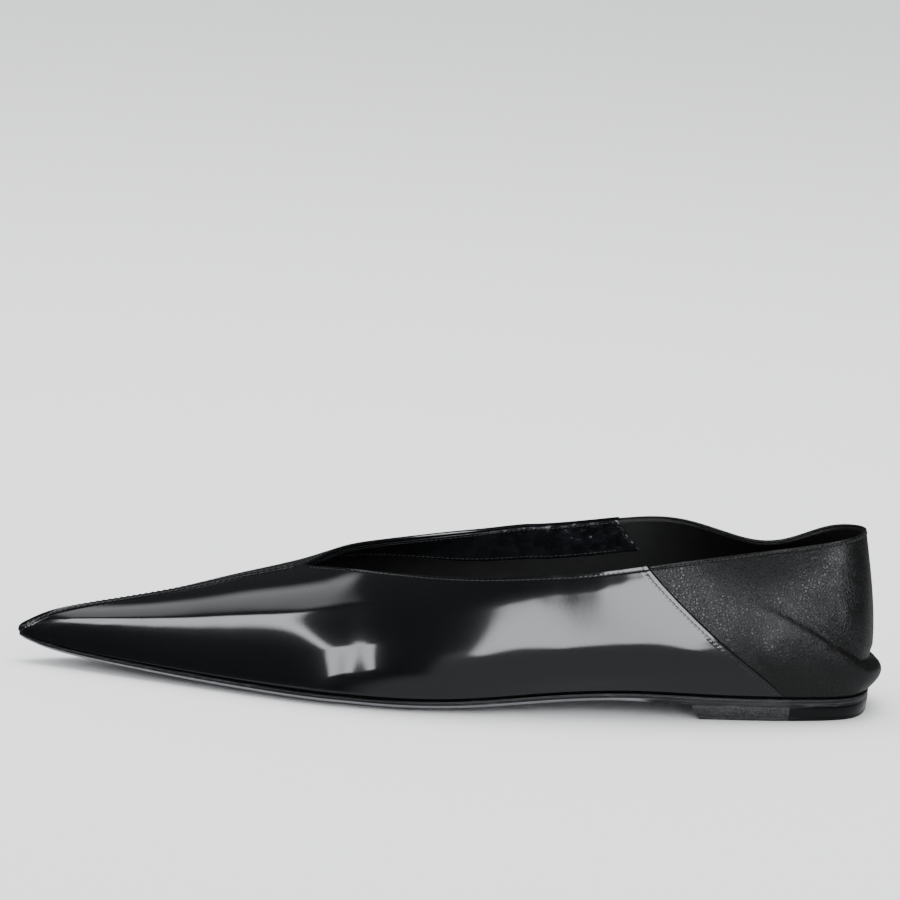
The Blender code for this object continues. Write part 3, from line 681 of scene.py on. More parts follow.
def make_vamp(sewing, material):
    """The patent vamp: outer skin, inner face, rounded top edge and rounded edge at the seam. The
    skin carries, as UV maps, how far along each stitch row a point is and how far off it."""
    shell = Shell()
    for side in (-1, 1):
        station, v, distance, before = vamp_grid(side)
        outer, away = upper_point(station, v, side, "vamp", distance)
        waves = sewn_waves(station, v, distance, before)
        outer = outer + away * waves[..., None]
        length, path_station = stitch_count(side, sewing)
        row = np.where(station < POINT_OF_THROAT, RIDGE_ROW, STITCH_IN)
        seam_points, _, seam_v = seam_path(side, "vamp", STITCH_IN, 0.0, 0.98)
        seam_length = make_row(seam_points, seam_points, sewing.pitch / MM)[3]
        marks = np.stack([np.interp(station, path_station, length), distance - row,
                          np.interp(v, seam_v, seam_length), before - STITCH_IN], -1)
        closed = 1.0 - smooth_step((station - 5.9) / 0.2)
        inner_distance = np.where(distance > 1e-6, np.maximum(distance, 1.5 * closed), distance)
        length_here = np.interp(station, TABLE, WAY[side][0])
        inner_distance = np.minimum(inner_distance, np.maximum(distance, 0.4 * length_here))
        inner_v = np.clip(height_at(inner_distance, station, side), 0.0, 1.0)
        leaning = station[:, -1] > SEAM_FAN
        inner_v[leaning] = v[leaning]
        inner, _ = under(station, inner_v, side, "vamp", VAMP_SKIN)
        start = int(np.argmax(station[:, 0] >= TOE_HOLLOW))
        numbers = shell.grid(outer, marks)
        inner_numbers = shell.grid(inner[start:])
        shell.strip(numbers[start:, 0], inner_numbers[:, 0])
        opening = int(np.argmax(station[:, -1] >= POINT_OF_THROAT - 1e-9))
        top, low_top = outer[opening:, -1], inner[opening:, -1]
        opened = smooth_step((station[opening:, -1:] - POINT_OF_THROAT) / 0.12)
        up = unit(unit(top - outer[opening:, -3]) * opened + (1.0 - opened) * np.array([1.0, 0.0, 0.0]))
        arc = rounded(top, low_top, up * EDGE_ROUND, 5)
        arc_numbers = shell.grid(arc)
        shell.strip(numbers[opening:, -1], arc_numbers[:, 0])
        shell.strip(arc_numbers[:, -1], inner_numbers[opening - start:, -1])
        towards = unit(outer[-1] - outer[-3])
        end = rounded(outer[-1], inner[-1], towards * 0.35, 3)
        end_numbers = shell.grid(end)
        shell.strip(numbers[-1], end_numbers[:, 0])
        shell.strip(end_numbers[:, -1], inner_numbers[-1])
        corner = np.concatenate([[numbers[-1, -1]], arc_numbers[-1], [inner_numbers[-1, -1]]])
        edge = np.concatenate([[numbers[-1, -1]], end_numbers[-1], [inner_numbers[-1, -1]]])
        fan_close(shell, corner, edge)
        foot = np.concatenate([[numbers[-1, 0]], end_numbers[0], [inner_numbers[-1, 0]]])
        shell.quads(foot[:1], foot[1:2], foot[2:3], foot[3:4])
        shell.quads(foot[:1], foot[3:4], foot[4:5], foot[4:5])
        if side < 0:
            first = (numbers[:start, 0], numbers[start, 0], inner_numbers[0])
        else:
            shell.strip(first[0], numbers[:start, 0])
            shell.strip(first[2], inner_numbers[0])
            shell.quads(first[0][-1:], numbers[start - 1:start, 0], numbers[start:start + 1, 0],
                        np.array([first[1]]))
            shell.quads(np.array([first[1]]), numbers[start:start + 1, 0],
                        inner_numbers[:1, 0], first[2][:1])
    mesh = shell.mesh("vamp_leather")
    return place("vamp_leather", mesh, material, "patent_leather", ("vamp",))


def fan_close(shell, one, two):
    """Closes the small gap between two rows that share both ends but not their count."""
    share = np.linspace(0.0, 1.0, len(one))
    match = two[np.round(share * (len(two) - 1)).astype(int)]
    shell.strip(one, match)


def sewn_waves(station, v, distance, before):
    """Soft dents that the sewing draws into the thin skin beside the slanted seam and the edge."""
    seam_fade = np.exp(-np.clip(before, 0.0, 90.0) / 5.0)
    along = v * 45.0
    seam_dents = 0.05 * np.sin(along * 0.95 + 0.8) + 0.035 * np.sin(along * 1.9 + 2.0)
    edge_fade = np.exp(-distance / 4.0) * smooth_step((station - 8.6) / 1.5)
    edge_dents = 0.04 * np.sin(station * 9.0 + 1.0) + 0.02 * np.sin(station * 21.0)
    return seam_fade * seam_dents + edge_fade * edge_dents


def back_grid(side):
    """Stations, heights and distances under the top edge for one side of the back panel."""
    share = np.concatenate([np.linspace(0.0, 0.06, 8, endpoint=False), np.linspace(0.06, 1.0, 92)])
    top_station = SEAM_TOP + (BACK - SEAM_TOP) * share
    distance = np.maximum(row_distances(top_station, side, 62), EDGE_ROUND)
    v = np.clip(height_at(distance, top_station[:, None], side), 0.0, 1.0)
    begin = seam_station(v)
    begin = begin - station_gap(begin, SEAM_CLEAR + 0.25)
    station = begin + (BACK - begin) * share[:, None]
    length = square_length(station, side)
    return station, v, (1.0 - v) * length


def round_the_heel(outer_side, inner_side):
    """Grids of the outer side of the foot, each carried on round the heel by the inner side's."""
    return [np.concatenate([one, two[-2::-1]]) for one, two in zip(outer_side, inner_side)]


def make_back(sewing, material):
    """The soft back panel from seam to seam round the heel, its top edge rounded and stitched."""
    shell = Shell()
    sides = []
    for side in (-1, 1):
        station, v, distance = back_grid(side)
        outer, away = upper_point(station, v, side, "back", distance)
        outer = outer + away * soft_creases(station, v, side)[..., None]
        inner, _ = under(station, v, side, "back", BACK_SKIN)
        path, _, path_station = top_path(side, "back", SEAM_TOP, BACK, STITCH_IN)
        length = make_row(path, path, sewing.pitch / MM)[3]
        mark = np.stack([np.interp(station, path_station, length), distance - STITCH_IN,
                         np.zeros_like(v), np.full(v.shape, 99.0)], -1)
        sides.append((outer, inner, mark))
    outer, inner, mark = round_the_heel(*sides)
    numbers = shell.grid(outer, mark)
    inner_numbers = shell.grid(inner)
    arc = rounded(outer[:, -1], inner[:, -1], unit(outer[:, -1] - outer[:, -3]) * EDGE_ROUND, 5)
    arc_numbers = shell.grid(arc)
    shell.strip(numbers[:, -1], arc_numbers[:, 0])
    shell.strip(arc_numbers[:, -1], inner_numbers[:, -1])
    shell.strip(numbers[:, 0], inner_numbers[:, 0])
    for end in (0, -1):
        shell.strip(numbers[end], inner_numbers[end])
        rim = np.concatenate([[numbers[end, -1]], arc_numbers[end], [inner_numbers[end, -1]]])
        shell.quads(rim[0:1], rim[1:2], rim[2:3], rim[3:4])
        shell.quads(rim[0:1], rim[3:4], rim[4:5], rim[5:6])
        shell.quads(rim[0:1], rim[5:6], rim[6:7], rim[6:7])
    mesh = shell.mesh("back_leather")
    return place("back_leather", mesh, material, "soft_leather", ("back_panel",))


# Soft creases of the back panel: where each starts and ends, as station and v, then its depth and
# half width in millimetres. A depth below zero is a swell. CREASE_STRETCH is millimetres for a
# station and for the whole height.
CREASE_STRETCH = (17.0, 46.0)
CREASES = (
    ((12.30, 0.47), (13.12, 0.03), 0.50, 2.2),
    ((12.75, 0.44), (13.40, 0.18), -0.45, 3.6),
    ((14.25, 0.56), (15.05, 0.40), -0.45, 3.8),
    ((13.55, 0.63), (15.20, 0.66), 0.35, 3.4),
    ((14.10, 0.93), (15.60, 0.74), 0.20, 2.6),
)


def soft_creases(station, v, side):
    """Troughs and ridges along CREASES: a bell across each and a long fade towards its ends."""
    result = np.zeros(station.shape)
    for start, end, depth, width in CREASES:
        line = (np.array(end) - start) * CREASE_STRETCH
        size = np.linalg.norm(line)
        dx, dy = (station - start[0]) * CREASE_STRETCH[0], (v - start[1]) * CREASE_STRETCH[1]
        t = (dx * line[0] + dy * line[1]) / size ** 2
        off = (dx * line[1] - dy * line[0]) / size
        fade = smooth_step(t / 0.35) * smooth_step((1.0 - t) / 0.35)
        result -= depth * fade * np.exp(-(off / width) ** 2)
    return result * (1.0 if side < 0 else 0.7)


def inner_sheet(stations, distances, side, faces):
    """Outer and inner face of a thin layer inside the upper."""
    station = np.broadcast_to(stations[:, None], (len(stations), distances.shape[1]))
    v = np.clip(height_at(distances, station, side), 0.0, 1.0)
    return [under(station, v, side, "back", depth)[0] for depth in faces]


def close_layer(shell, outer, inner):
    """A closed thin layer from its two faces."""
    one, two = shell.grid(outer), shell.grid(inner)
    for k in (0, -1):
        shell.strip(one[:, k], two[:, k])
        shell.strip(one[k], two[k])


def make_lining(material):
    """The leather lining, one thin layer from the toe round the heel and back to the toe."""
    shell = Shell()
    sides = []
    for side in (-1, 1):
        stations = np.concatenate([np.linspace(TOE_HOLLOW + 0.2, 5.9, 24, endpoint=False),
                                   np.linspace(5.9, 6.6, 12, endpoint=False),
                                   np.linspace(6.6, 12.0, 40, endpoint=False),
                                   np.linspace(12.0, BACK, 64)])
        length = square_length(stations, side)
        closed = 1.0 - smooth_step((stations - 5.9) / 0.2)
        top = 0.9 + 1.1 * closed
        share = np.linspace(0.0, 1.0, 40)[None, :]
        distances = length[:, None] * (1.0 - share) + top[:, None] * share
        sides.append(inner_sheet(stations, distances, side, LINING))
    close_layer(shell, *round_the_heel(*sides))
    return place("lining", shell.mesh("lining"), material, "soft_leather")


def make_facing(material):
    """The glossy band inside the throat's edge, from the point of the throat to the side seam."""
    shell = Shell()
    start = POINT_OF_THROAT + 0.12
    columns = np.linspace(0.0, 1.0, 110)[:, None]
    rows = np.concatenate([np.linspace(FACING_TOP, 2.5, 8, endpoint=False),
                           np.linspace(2.5, FACING_WIDTH - 1.2, 16, endpoint=False),
                           np.linspace(FACING_WIDTH - 1.2, FACING_WIDTH, 7)])[None, :]
    rim = smooth_step((FACING_WIDTH - rows) / FACING_ROUND)
    tuck = smooth_step((rows - FACING_TOP) / FACING_ROUND)
    depth = (LINING[1] - 0.05) + (FACING[1] - LINING[1] + 0.05) * rim * tuck
    for side in (-1, 1):
        v = np.clip(height_at(rows, start + (SEAM_TOP - start) * columns, side), 0.0, 1.0)
        end = seam_station(v)
        end = end - station_gap(end, 1.0)
        station = start + (end - start) * columns
        v = np.clip(height_at(rows, station, side), 0.0, 1.0)
        outer = under(station, v, side, "back", FACING[0] - 0.1)[0]
        base, away = under(station, v, side, "back", 0.0)
        inner = base - away * (depth + CRINKLE_HEIGHT * crinkles(station, v))[..., None]
        close_layer(shell, outer, inner)
    return place("facing", shell.mesh("facing"), material, "patent_leather")


def crinkles(station, v):
    """Small slanting wrinkles near the facing's end, from two crossing waves."""
    near = smooth_step((station - 9.6) / 1.2) * smooth_step((v - 0.7) / 0.1)
    return near * (np.sin(station * 34.0 + v * 60.0) + np.sin(station * 23.0 - v * 90.0 + 1.0))


def make_stitching(sewing, material):
    """Every stitch row, as one mesh for each seam: its rows, its pitch and its thread."""
    toe, throat, thread = sewing.toe_pitch / MM, sewing.pitch / MM, sewing.thread / MM
    rows = {name: [] for name in ("toe_stitches", "throat_stitches", "back_edge_stitches",
                                  "side_seam_stitches", "facing_stitches")}

    def add(name, pitch, path):
        rows[name].append(make_row(path[0], path[1], pitch))

    for side in (-1, 1):
        add("toe_stitches", toe, top_path(side, "vamp", 0.18, POINT_OF_THROAT - 0.05, STITCH_IN))
        add("throat_stitches", throat, top_path(side, "vamp", POINT_OF_THROAT + 0.1, SEAM_TOP - 0.04,
                                                STITCH_IN))
        add("side_seam_stitches", throat, seam_path(side, "vamp", STITCH_IN, 0.02, 0.955))
        add("back_edge_stitches", throat, top_path(side, "back", SEAM_TOP + 0.25, BACK, STITCH_IN))
        add("facing_stitches", throat, top_path(side, "back", POINT_OF_THROAT + 0.35, SEAM_TOP + 0.05,
                                                FACING_WIDTH - 1.1, FACING[1]))
        add("facing_stitches", throat, top_path(side, "back", POINT_OF_THROAT + 0.25, SEAM_TOP,
                                                STITCH_IN, FACING[1]))
        add("facing_stitches", throat, seam_path(side, "back", 1.6, 0.76, 0.96, FACING[1]))
    sizes = {"toe_stitches": (toe, thread * 1.2), "back_edge_stitches": (throat, thread * 1.4)}
    made = []
    for name, group_rows in rows.items():
        pitch, thickness = sizes.get(name, (throat, thread))
        mesh = stitches(group_rows, pitch, thickness, sewing.lean)
        mesh.name = name
        made.append(place(name, mesh, material, "patent_leather"))
    return made


def foot_line(station, side, out):
    """The upper's foot in plan, moved outwards by out."""
    which = "outer" if side < 0 else "inner"
    move = out - section("tuck_" + which, station)
    return outline(station, side) + outward(station, side) * move[..., None]


def make_sock(material):
    """The sock: across each station a row from side to side, cupped a little at its edges and
    raised by the arch pad, with a rounded rim and a flat underside."""
    stations = np.concatenate([np.linspace(TOE_HOLLOW + 0.5, 15.0, 130, endpoint=False),
                               np.linspace(15.0, BACK, 40)])
    out = -(VAMP_SKIN + 0.4 + OVERLAP_STEP + GAP)
    left, right = foot_line(stations, -1, out), foot_line(stations, 1, out)
    share = 0.5 - 0.5 * np.cos(np.linspace(0.0, np.pi, 61))[None, :, None]
    plan = left[:, None] * (1.0 - share) + right[:, None] * share
    width = np.linalg.norm(right - left, axis=-1)[:, None]
    from_edge = np.minimum(share[..., 0], 1.0 - share[..., 0]) * width
    seat = section("seat", stations)[:, None]
    rim = np.sqrt(np.clip(1.0 - (1.0 - np.clip(from_edge / SOCK_ROUND, 0.0, 1.0)) ** 2, 0.0, 1.0))
    cup = SOCK_CUP * np.exp(-from_edge / SOCK_CUP_REACH)
    pad = pad_height(plan[..., 0], plan[..., 1])
    top = seat + (SOCK_THICK - SOCK_ROUND) + SOCK_ROUND * rim + (cup + pad) * rim
    low = np.broadcast_to(seat, top.shape)
    shell = Shell()
    close_layer(shell, np.concatenate([plan, top[..., None]], -1),
                np.concatenate([plan, low[..., None]], -1))
    return place("sock", shell.mesh("sock", 0.9), material, "sock_leather", ("insole",))


# Front and side of the arch pad under the sock, millimetres from the toe tip and from the middle
PAD_EDGE = ((146.0, 34.0), (152.9, 29.5), (160.0, 23.0), (168.0, 18.3), (178.9, 15.5),
            (198.5, 14.8), (225.0, 16.5), (262.0, 19.0))


def pad_height(x, y):
    """The pad lies inside PAD_EDGE: up over a narrow slope, and level beyond it."""
    edge = np.array(PAD_EDGE)
    line = np.interp(x, edge[:, 0], edge[:, 1])
    front = smooth_step((x - edge[0, 0]) / PAD_FRONT)
    return PAD_RISE * front * smooth_step((y - line) / PAD_SLOPE)


def sole_levels(stations):
    """Height of the outsole's top, of its upright edge's foot, of its rim and of its tread."""
    top = section("seat", stations) - GAP
    tread = np.maximum(section("tread", stations), 0.0)
    rim = tread + np.maximum(section("rim", stations), 0.0)
    edge = top - UPRIGHT_SHARE * (top - rim)
    return top, edge, rim, tread


def make_outsole(material):
    """The outsole. Its edge goes down from a rounded top line past a fine groove to the bevel, and
    its underside is a shallow crown between the two edges."""
    stations = np.concatenate([np.linspace(0.0, 2.0, 40, endpoint=False),
                               np.linspace(2.0, 15.0, 170, endpoint=False),
                               np.linspace(15.0, BACK, 60)])
    top, edge, rim, tread = sole_levels(stations)
    width = (foot_line(stations, 1, 0.0) - foot_line(stations, -1, 0.0))[:, 1]
    width[stations > THROAT_END] = BALL_WIDTH
    reach = SOLE_EDGE * smooth_step(stations / 1.5)
    bevel = np.minimum(BEVEL_IN, 0.15 * width)
    bevel = bevel * (1.0 - 0.92 * smooth_step((stations - 10.6) / 0.8))
    round_in = np.minimum(CROWN_IN, 0.30 * width)
    high = top - edge
    profile = [(reach - 0.35, top), (reach - 0.10, top - 0.03), (reach, top - 0.14),
               (reach, top - 0.30 * high), (reach - 0.10, top - 0.36 * high),
               (reach, top - 0.42 * high), (reach, edge + 0.12), (reach - 0.05, edge),
               (reach - 0.5 * bevel, 0.5 * (edge + rim)), (reach - bevel, rim)]
    for share in (0.15, 0.35, 0.6, 0.8, 1.0):
        inwards = bevel + (round_in - bevel) * share
        bend = rim + (tread - rim) * np.sin(0.5 * np.pi * share)
        profile.append((reach - inwards, bend))
    rings = {}
    for side in (-1, 1):
        rings[side] = np.stack([np.column_stack([foot_line(stations, side, out), z])
                                for out, z in profile], 1)
    across = np.linspace(0.0, 1.0, 17)[1:-1][None, :, None]
    bottom = rings[-1][:, -1:] * (1.0 - across) + rings[1][:, -1:] * across
    top_sheet = rings[1][:, :1] * (1.0 - across) + rings[-1][:, :1] * across
    around = np.concatenate([rings[-1], bottom, rings[1][:, ::-1], top_sheet, rings[-1][:, :1]], 1)
    shell = Shell()
    shell.grid(around)
    return place("outsole_leather", shell.mesh("outsole_leather", 0.6), material, "sole_leather",
                 ("outsole",))


def heel_ring(z, out, front, around, draw):
    """One level of the heel: foot line round the back, straight sides and a hollow breast."""
    outer, inner = foot_line(around, -1, out), foot_line(around, 1, out)
    ring = np.concatenate([outer, inner[-2::-1]])
    centre = ring.mean(0)
    shape = centre + (ring - centre) * (1.0 - 2.0 * draw / np.ptp(ring[:, 1]))
    shape[:, 0] = np.maximum(shape[:, 0], front)
    breast = np.linspace(shape[-1], shape[0], 25)[1:-1]
    breast[:, 0] += BREAST_HOLLOW * np.sin(np.linspace(0.0, np.pi, 25))[1:-1]
    shape = np.concatenate([shape, breast])
    return np.column_stack([shape, np.full(len(shape), z)])


def heel_block(name, levels, material, replaced):
    """A closed block from its levels, each (z, out, front, draw), closed at top and bottom."""
    around = np.concatenate([np.linspace(11.5, 15.0, 60, endpoint=False), np.linspace(15.0, BACK, 60)])
    rings = np.stack([heel_ring(z, out, front, around, draw) for z, out, front, draw in levels])
    middle = rings[:, :-24].mean(1, keepdims=True)
    top = middle[:1] + (rings[:1] - middle[:1]) * np.linspace(0.0, 1.0, 8, endpoint=False)[:, None, None]
    low = middle[-1:] + (rings[-1:] - middle[-1:]) * np.linspace(1.0, 0.0, 9)[1:, None, None]
    rows = np.concatenate([top, rings, low])
    rows = np.concatenate([rows, rows[:, :1]], 1)
    shell = Shell()
    shell.grid(rows)
    return place(name, shell.mesh(name, 0.6), material, "heel_stack", replaced)


def make_heel(stack, tip):
    """The heel: a leather lift over a thinner top piece, with a fine line between them."""
    top_z = HEEL_TREAD - GAP + 0.25

    def at(z, out=0.0):
        share = 1.0 - z / top_z
        return (z, SOLE_EDGE + out, BREAST_TOP + (BREAST_FOOT - BREAST_TOP) * share,
                HEEL_TAPER * share)

    lift = (at(top_z, -0.3), at(top_z - 0.03, -0.05), at(top_z - 0.12), at(3.0),
            at(TOP_PIECE + 0.1), at(TOP_PIECE + 0.04, -0.04), at(TOP_PIECE + 0.02, -0.3))
    foot = (at(TOP_PIECE, -0.3), at(TOP_PIECE - 0.03, -0.04), at(TOP_PIECE - 0.1), at(0.45),
            at(0.12, -0.1), at(0.0, -0.4))
    return [heel_block("heel_lift", lift, stack, ("heel",)), heel_block("heel_top_piece", foot, tip, ())]


# Materials


class Nodes:
    """Short ways to add nodes to a tree and link them."""

    def __init__(self, tree):
        self.tree = tree

    def add(self, kind, links=(), **values):
        """Adds a node. values are its properties, or in_NAME for an input's value."""
        node = self.tree.nodes.new(kind)
        for key, value in values.items():
            if key.startswith("in_"):
                node.inputs[key[3:].replace("_", " ")].default_value = value
            else:
                setattr(node, key, value)
        for socket, source in links:
            self.tree.links.new(source, node.inputs[socket])
        return node

    def noise(self, way, scale, detail):
        """The value of a noise texture."""
        node = self.add("ShaderNodeTexNoise", (("Vector", way),), in_Scale=scale, in_Detail=detail)
        return node.outputs["Fac"]

    def axis(self, way, name):
        """One coordinate of a vector."""
        return self.add("ShaderNodeSeparateXYZ", (("Vector", way),)).outputs[name]

    def maths(self, what, *values):
        """A Math node over numbers and sockets, and its output."""
        node = self.tree.nodes.new("ShaderNodeMath")
        node.operation = what
        for k, value in enumerate(values):
            if isinstance(value, (int, float)):
                node.inputs[k].default_value = value
            else:
                self.tree.links.new(value, node.inputs[k])
        return node.outputs[0]

    def between(self, value, low, high, start=0.0, end=1.0):
        """A smooth Map Range of value from low and high to start and end."""
        node = self.add("ShaderNodeMapRange", interpolation_type="SMOOTHSTEP",
                        links=(("Value", value),))
        for key, number in (("From Min", low), ("From Max", high), ("To Min", start), ("To Max", end)):
            node.inputs[key].default_value = number
        return node.outputs["Result"]


def new_group(name, inputs, outputs):
    """An empty node group with its sockets: inputs are (name, default), vectors have no default."""
    group = bpy.data.node_groups.new(name, "ShaderNodeTree")
    for socket, default in inputs:
        kind = "NodeSocketVector" if default is None else "NodeSocketFloat"
        made = group.interface.new_socket(name=socket, in_out="INPUT", socket_type=kind)
        if default is not None:
            made.default_value = default
    for socket in outputs:
        group.interface.new_socket(name=socket, in_out="OUTPUT", socket_type="NodeSocketFloat")
    nodes = Nodes(group)
    return nodes, nodes.add("NodeGroupInput"), nodes.add("NodeGroupOutput")


def grain_group():
    """Leather grain. Height: cells of a stretched Voronoi pattern, their edges pressed in, over a
    slow swell. Mask: 1 on the tops of the cells, 0 in the creases between them."""
    nodes, given, made = new_group("leather_grain", (("Vector", None), ("Cell", 0.0006),
                                                     ("Stretch", 0.3)), ("Height", "Mask"))
    scale = nodes.maths("DIVIDE", 1.0, given.outputs["Cell"])
    warp = nodes.add("ShaderNodeTexNoise", (("Vector", given.outputs["Vector"]), ("Scale", scale)),
                     in_Detail=1.0)
    bent = nodes.add("ShaderNodeVectorMath", operation="MULTIPLY_ADD",
                     links=((0, warp.outputs["Color"]), (2, given.outputs["Vector"])))
    bent.inputs[1].default_value = (0.0007, 0.0007, 0.0007)
    cells = nodes.add("ShaderNodeTexVoronoi", (("Vector", bent.outputs[0]), ("Scale", scale)),
                      feature="DISTANCE_TO_EDGE")
    mask = nodes.between(cells.outputs["Distance"], 0.02, 0.22)
    swell = nodes.noise(given.outputs["Vector"], 420.0, 2.0)
    height = nodes.maths("MULTIPLY_ADD", swell, given.outputs["Stretch"], mask)
    nodes.tree.links.new(height, made.inputs["Height"])
    nodes.tree.links.new(mask, made.inputs["Mask"])
    return nodes.tree


def dust_group():
    """Fine dust. Mask: small round specks in a few cells of a Voronoi pattern."""
    nodes, given, made = new_group("dust", (("Vector", None), ("Spacing", 0.004), ("Amount", 0.2),
                                            ("Size", 0.05)), ("Mask",))
    scale = nodes.maths("DIVIDE", 1.0, given.outputs["Spacing"])
    cells = nodes.add("ShaderNodeTexVoronoi", (("Vector", given.outputs["Vector"]), ("Scale", scale)))
    chosen = nodes.add("ShaderNodeSeparateColor", (("Color", cells.outputs["Color"]),))
    few = nodes.maths("LESS_THAN", chosen.outputs["Red"], given.outputs["Amount"])
    near = nodes.maths("LESS_THAN", cells.outputs["Distance"],
                       nodes.maths("MULTIPLY", given.outputs["Size"], chosen.outputs["Green"]))
    nodes.tree.links.new(nodes.maths("MULTIPLY", few, near), made.inputs["Mask"])
    return nodes.tree


def pull_group():
    """What a row of stitches does to the leather, from how far along the row a point is, in stitches,
    and how far off it is, in millimetres. Height: a groove with a dip round each hole. Shadow: 1 in
    the groove where a stitch lies, 0 between stitches and beside the row."""
    nodes, given, made = new_group("stitch_pull", (("Along", 0.0), ("Off", 99.0)), ("Height", "Shadow"))
    turn = nodes.maths("COSINE", nodes.maths("MULTIPLY", given.outputs["Along"], 2.0 * math.pi))
    beat = nodes.maths("MULTIPLY_ADD", turn, 0.5, 0.5)
    off = nodes.maths("ABSOLUTE", given.outputs["Off"])
    wide = nodes.between(off, 0.1, 0.8, 1.0, 0.0)
    tight = nodes.between(off, 0.05, 0.35, 1.0, 0.0)
    dip = nodes.maths("MULTIPLY", wide, nodes.maths("MULTIPLY_ADD", beat, 0.6, 0.4))
    hole = nodes.maths("MULTIPLY", tight, nodes.between(beat, 0.86, 0.97))
    height = nodes.maths("SUBTRACT", nodes.maths("MULTIPLY", dip, -1.0),
                         nodes.maths("MULTIPLY", hole, 1.6))
    nodes.tree.links.new(height, made.inputs["Height"])
    groove = nodes.between(off, 0.22, 0.50, 1.0, 0.0)
    dash = nodes.between(beat, 0.75, 0.97, 1.0, 0.25)
    nodes.tree.links.new(nodes.maths("MULTIPLY", groove, dash), made.inputs["Shadow"])
    return nodes.tree


def scuff_group():
    """Fine wear along the shoe. Mask: thin broken lines, from noise that is stretched along X."""
    nodes, given, made = new_group("fine_scuffs", (("Vector", None), ("Fineness", 900.0),
                                                   ("Amount", 0.5)), ("Mask",))
    long_way = nodes.add("ShaderNodeMapping", (("Vector", given.outputs["Vector"]),))
    long_way.inputs["Scale"].default_value = (0.08, 0.5, 1.0)
    lines = nodes.add("ShaderNodeTexNoise", (("Vector", long_way.outputs[0]),
                                             ("Scale", given.outputs["Fineness"])), in_Detail=4.0)
    patches = nodes.noise(given.outputs["Vector"], 60.0, 2.0)
    thin = nodes.between(lines.outputs["Fac"], 0.52, 0.70)
    where = nodes.between(patches, 0.35, 0.65)
    mask = nodes.maths("MULTIPLY", nodes.maths("MULTIPLY", thin, where), given.outputs["Amount"])
    nodes.tree.links.new(mask, made.inputs["Mask"])
    return nodes.tree


def group(nodes, tree, links=(), **values):
    """Places a node group in a material."""
    node = nodes.add("ShaderNodeGroup")
    node.node_tree = tree
    for key, value in values.items():
        node.inputs[key].default_value = value
    for socket, source in links:
        nodes.tree.links.new(source, node.inputs[socket])
    return node


def new_material(name, colour, roughness):
    """A material with its Principled shader set to a plain colour and roughness."""
    material = bpy.data.materials.new(OWN + name)
    material.use_nodes = True
    shader = material.node_tree.nodes["Principled BSDF"]
    shader.inputs["Base Color"].default_value = tuple(colour) + (1.0,)
    shader.inputs["Roughness"].default_value = roughness
    nodes = Nodes(material.node_tree)
    place_in = nodes.add("ShaderNodeTexCoord").outputs["Object"]
    return material, nodes, shader, place_in


def mixed(nodes, mask, one, two):
    """A colour that goes from one to two as mask goes from 0 to 1."""
    node = nodes.add("ShaderNodeMix", data_type="RGBA")
    nodes.tree.links.new(mask, node.inputs["Factor"])
    for socket in node.inputs:
        if socket.type == "RGBA" and socket.name == "A":
            socket.default_value = tuple(one) + (1.0,)
        if socket.type == "RGBA" and socket.name == "B":
            socket.default_value = tuple(two) + (1.0,)
    return [s for s in node.outputs if s.type == "RGBA"][0]


def paint(nodes, shader, mask, one, two, rough):
    """Colours the shader from one to two, as mask goes from 0 to 1, and links its roughness."""
    nodes.tree.links.new(mixed(nodes, mask, one, two), shader.inputs["Base Color"])
    nodes.tree.links.new(rough, shader.inputs["Roughness"])


def bump(nodes, shader, height, depth, before=None):
    """A Bump of a real depth in metres feeding the shader's Normal."""
    node = nodes.add("ShaderNodeBump", (("Height", height),))
    node.inputs["Strength"].default_value = 1.0
    node.inputs["Distance"].default_value = depth
    if before is not None:
        nodes.tree.links.new(before.outputs[0], node.inputs["Normal"])
    nodes.tree.links.new(node.outputs[0], shader.inputs["Normal"])
    return node


def sewn(nodes, groups):
    """Height and shadow that the stitch rows give a skin, from its two UV maps."""
    pulls = []
    for uv_name in ("top_row", "seam_row"):
        uv = nodes.add("ShaderNodeUVMap", uv_map=uv_name)
        parts = nodes.add("ShaderNodeSeparateXYZ", (("Vector", uv.outputs[0]),))
        pulls.append(group(nodes, groups["pull"], (("Along", parts.outputs["X"]),
                                                   ("Off", parts.outputs["Y"]))))
    return (nodes.maths("ADD", pulls[0].outputs["Height"], pulls[1].outputs["Height"]),
            nodes.maths("MAXIMUM", pulls[0].outputs["Shadow"], pulls[1].outputs["Shadow"]))


def patent_leather(looks, groups):
    """Near mirror gloss over black: a clear film with a slow wobble and hardly any grain."""
    material, nodes, shader, here = new_material("patent_leather", looks.patent_colour,
                                                 looks.patent_roughness)
    shader.inputs["IOR"].default_value = 1.55
    shader.inputs["Coat Weight"].default_value = 0.25
    shader.inputs["Coat Roughness"].default_value = 0.22
    wobble = nodes.noise(here, 60.0, 1.0)
    fine = nodes.noise(here, 1500.0, 1.0)
    first = bump(nodes, shader, wobble, 0.00005)
    second = bump(nodes, shader, fine, 0.0000030, first)
    bump(nodes, shader, sewn(nodes, groups)[0], 0.00004, second)
    dust = group(nodes, groups["dust"], (("Vector", here),), Spacing=0.009, Amount=0.16, Size=0.055)
    rough = nodes.between(wobble, 0.3, 0.7, looks.patent_roughness * 0.85,
                          looks.patent_roughness * 1.25)
    paint(nodes, shader, dust.outputs["Mask"], looks.patent_colour, (0.16, 0.16, 0.16), rough)
    return material


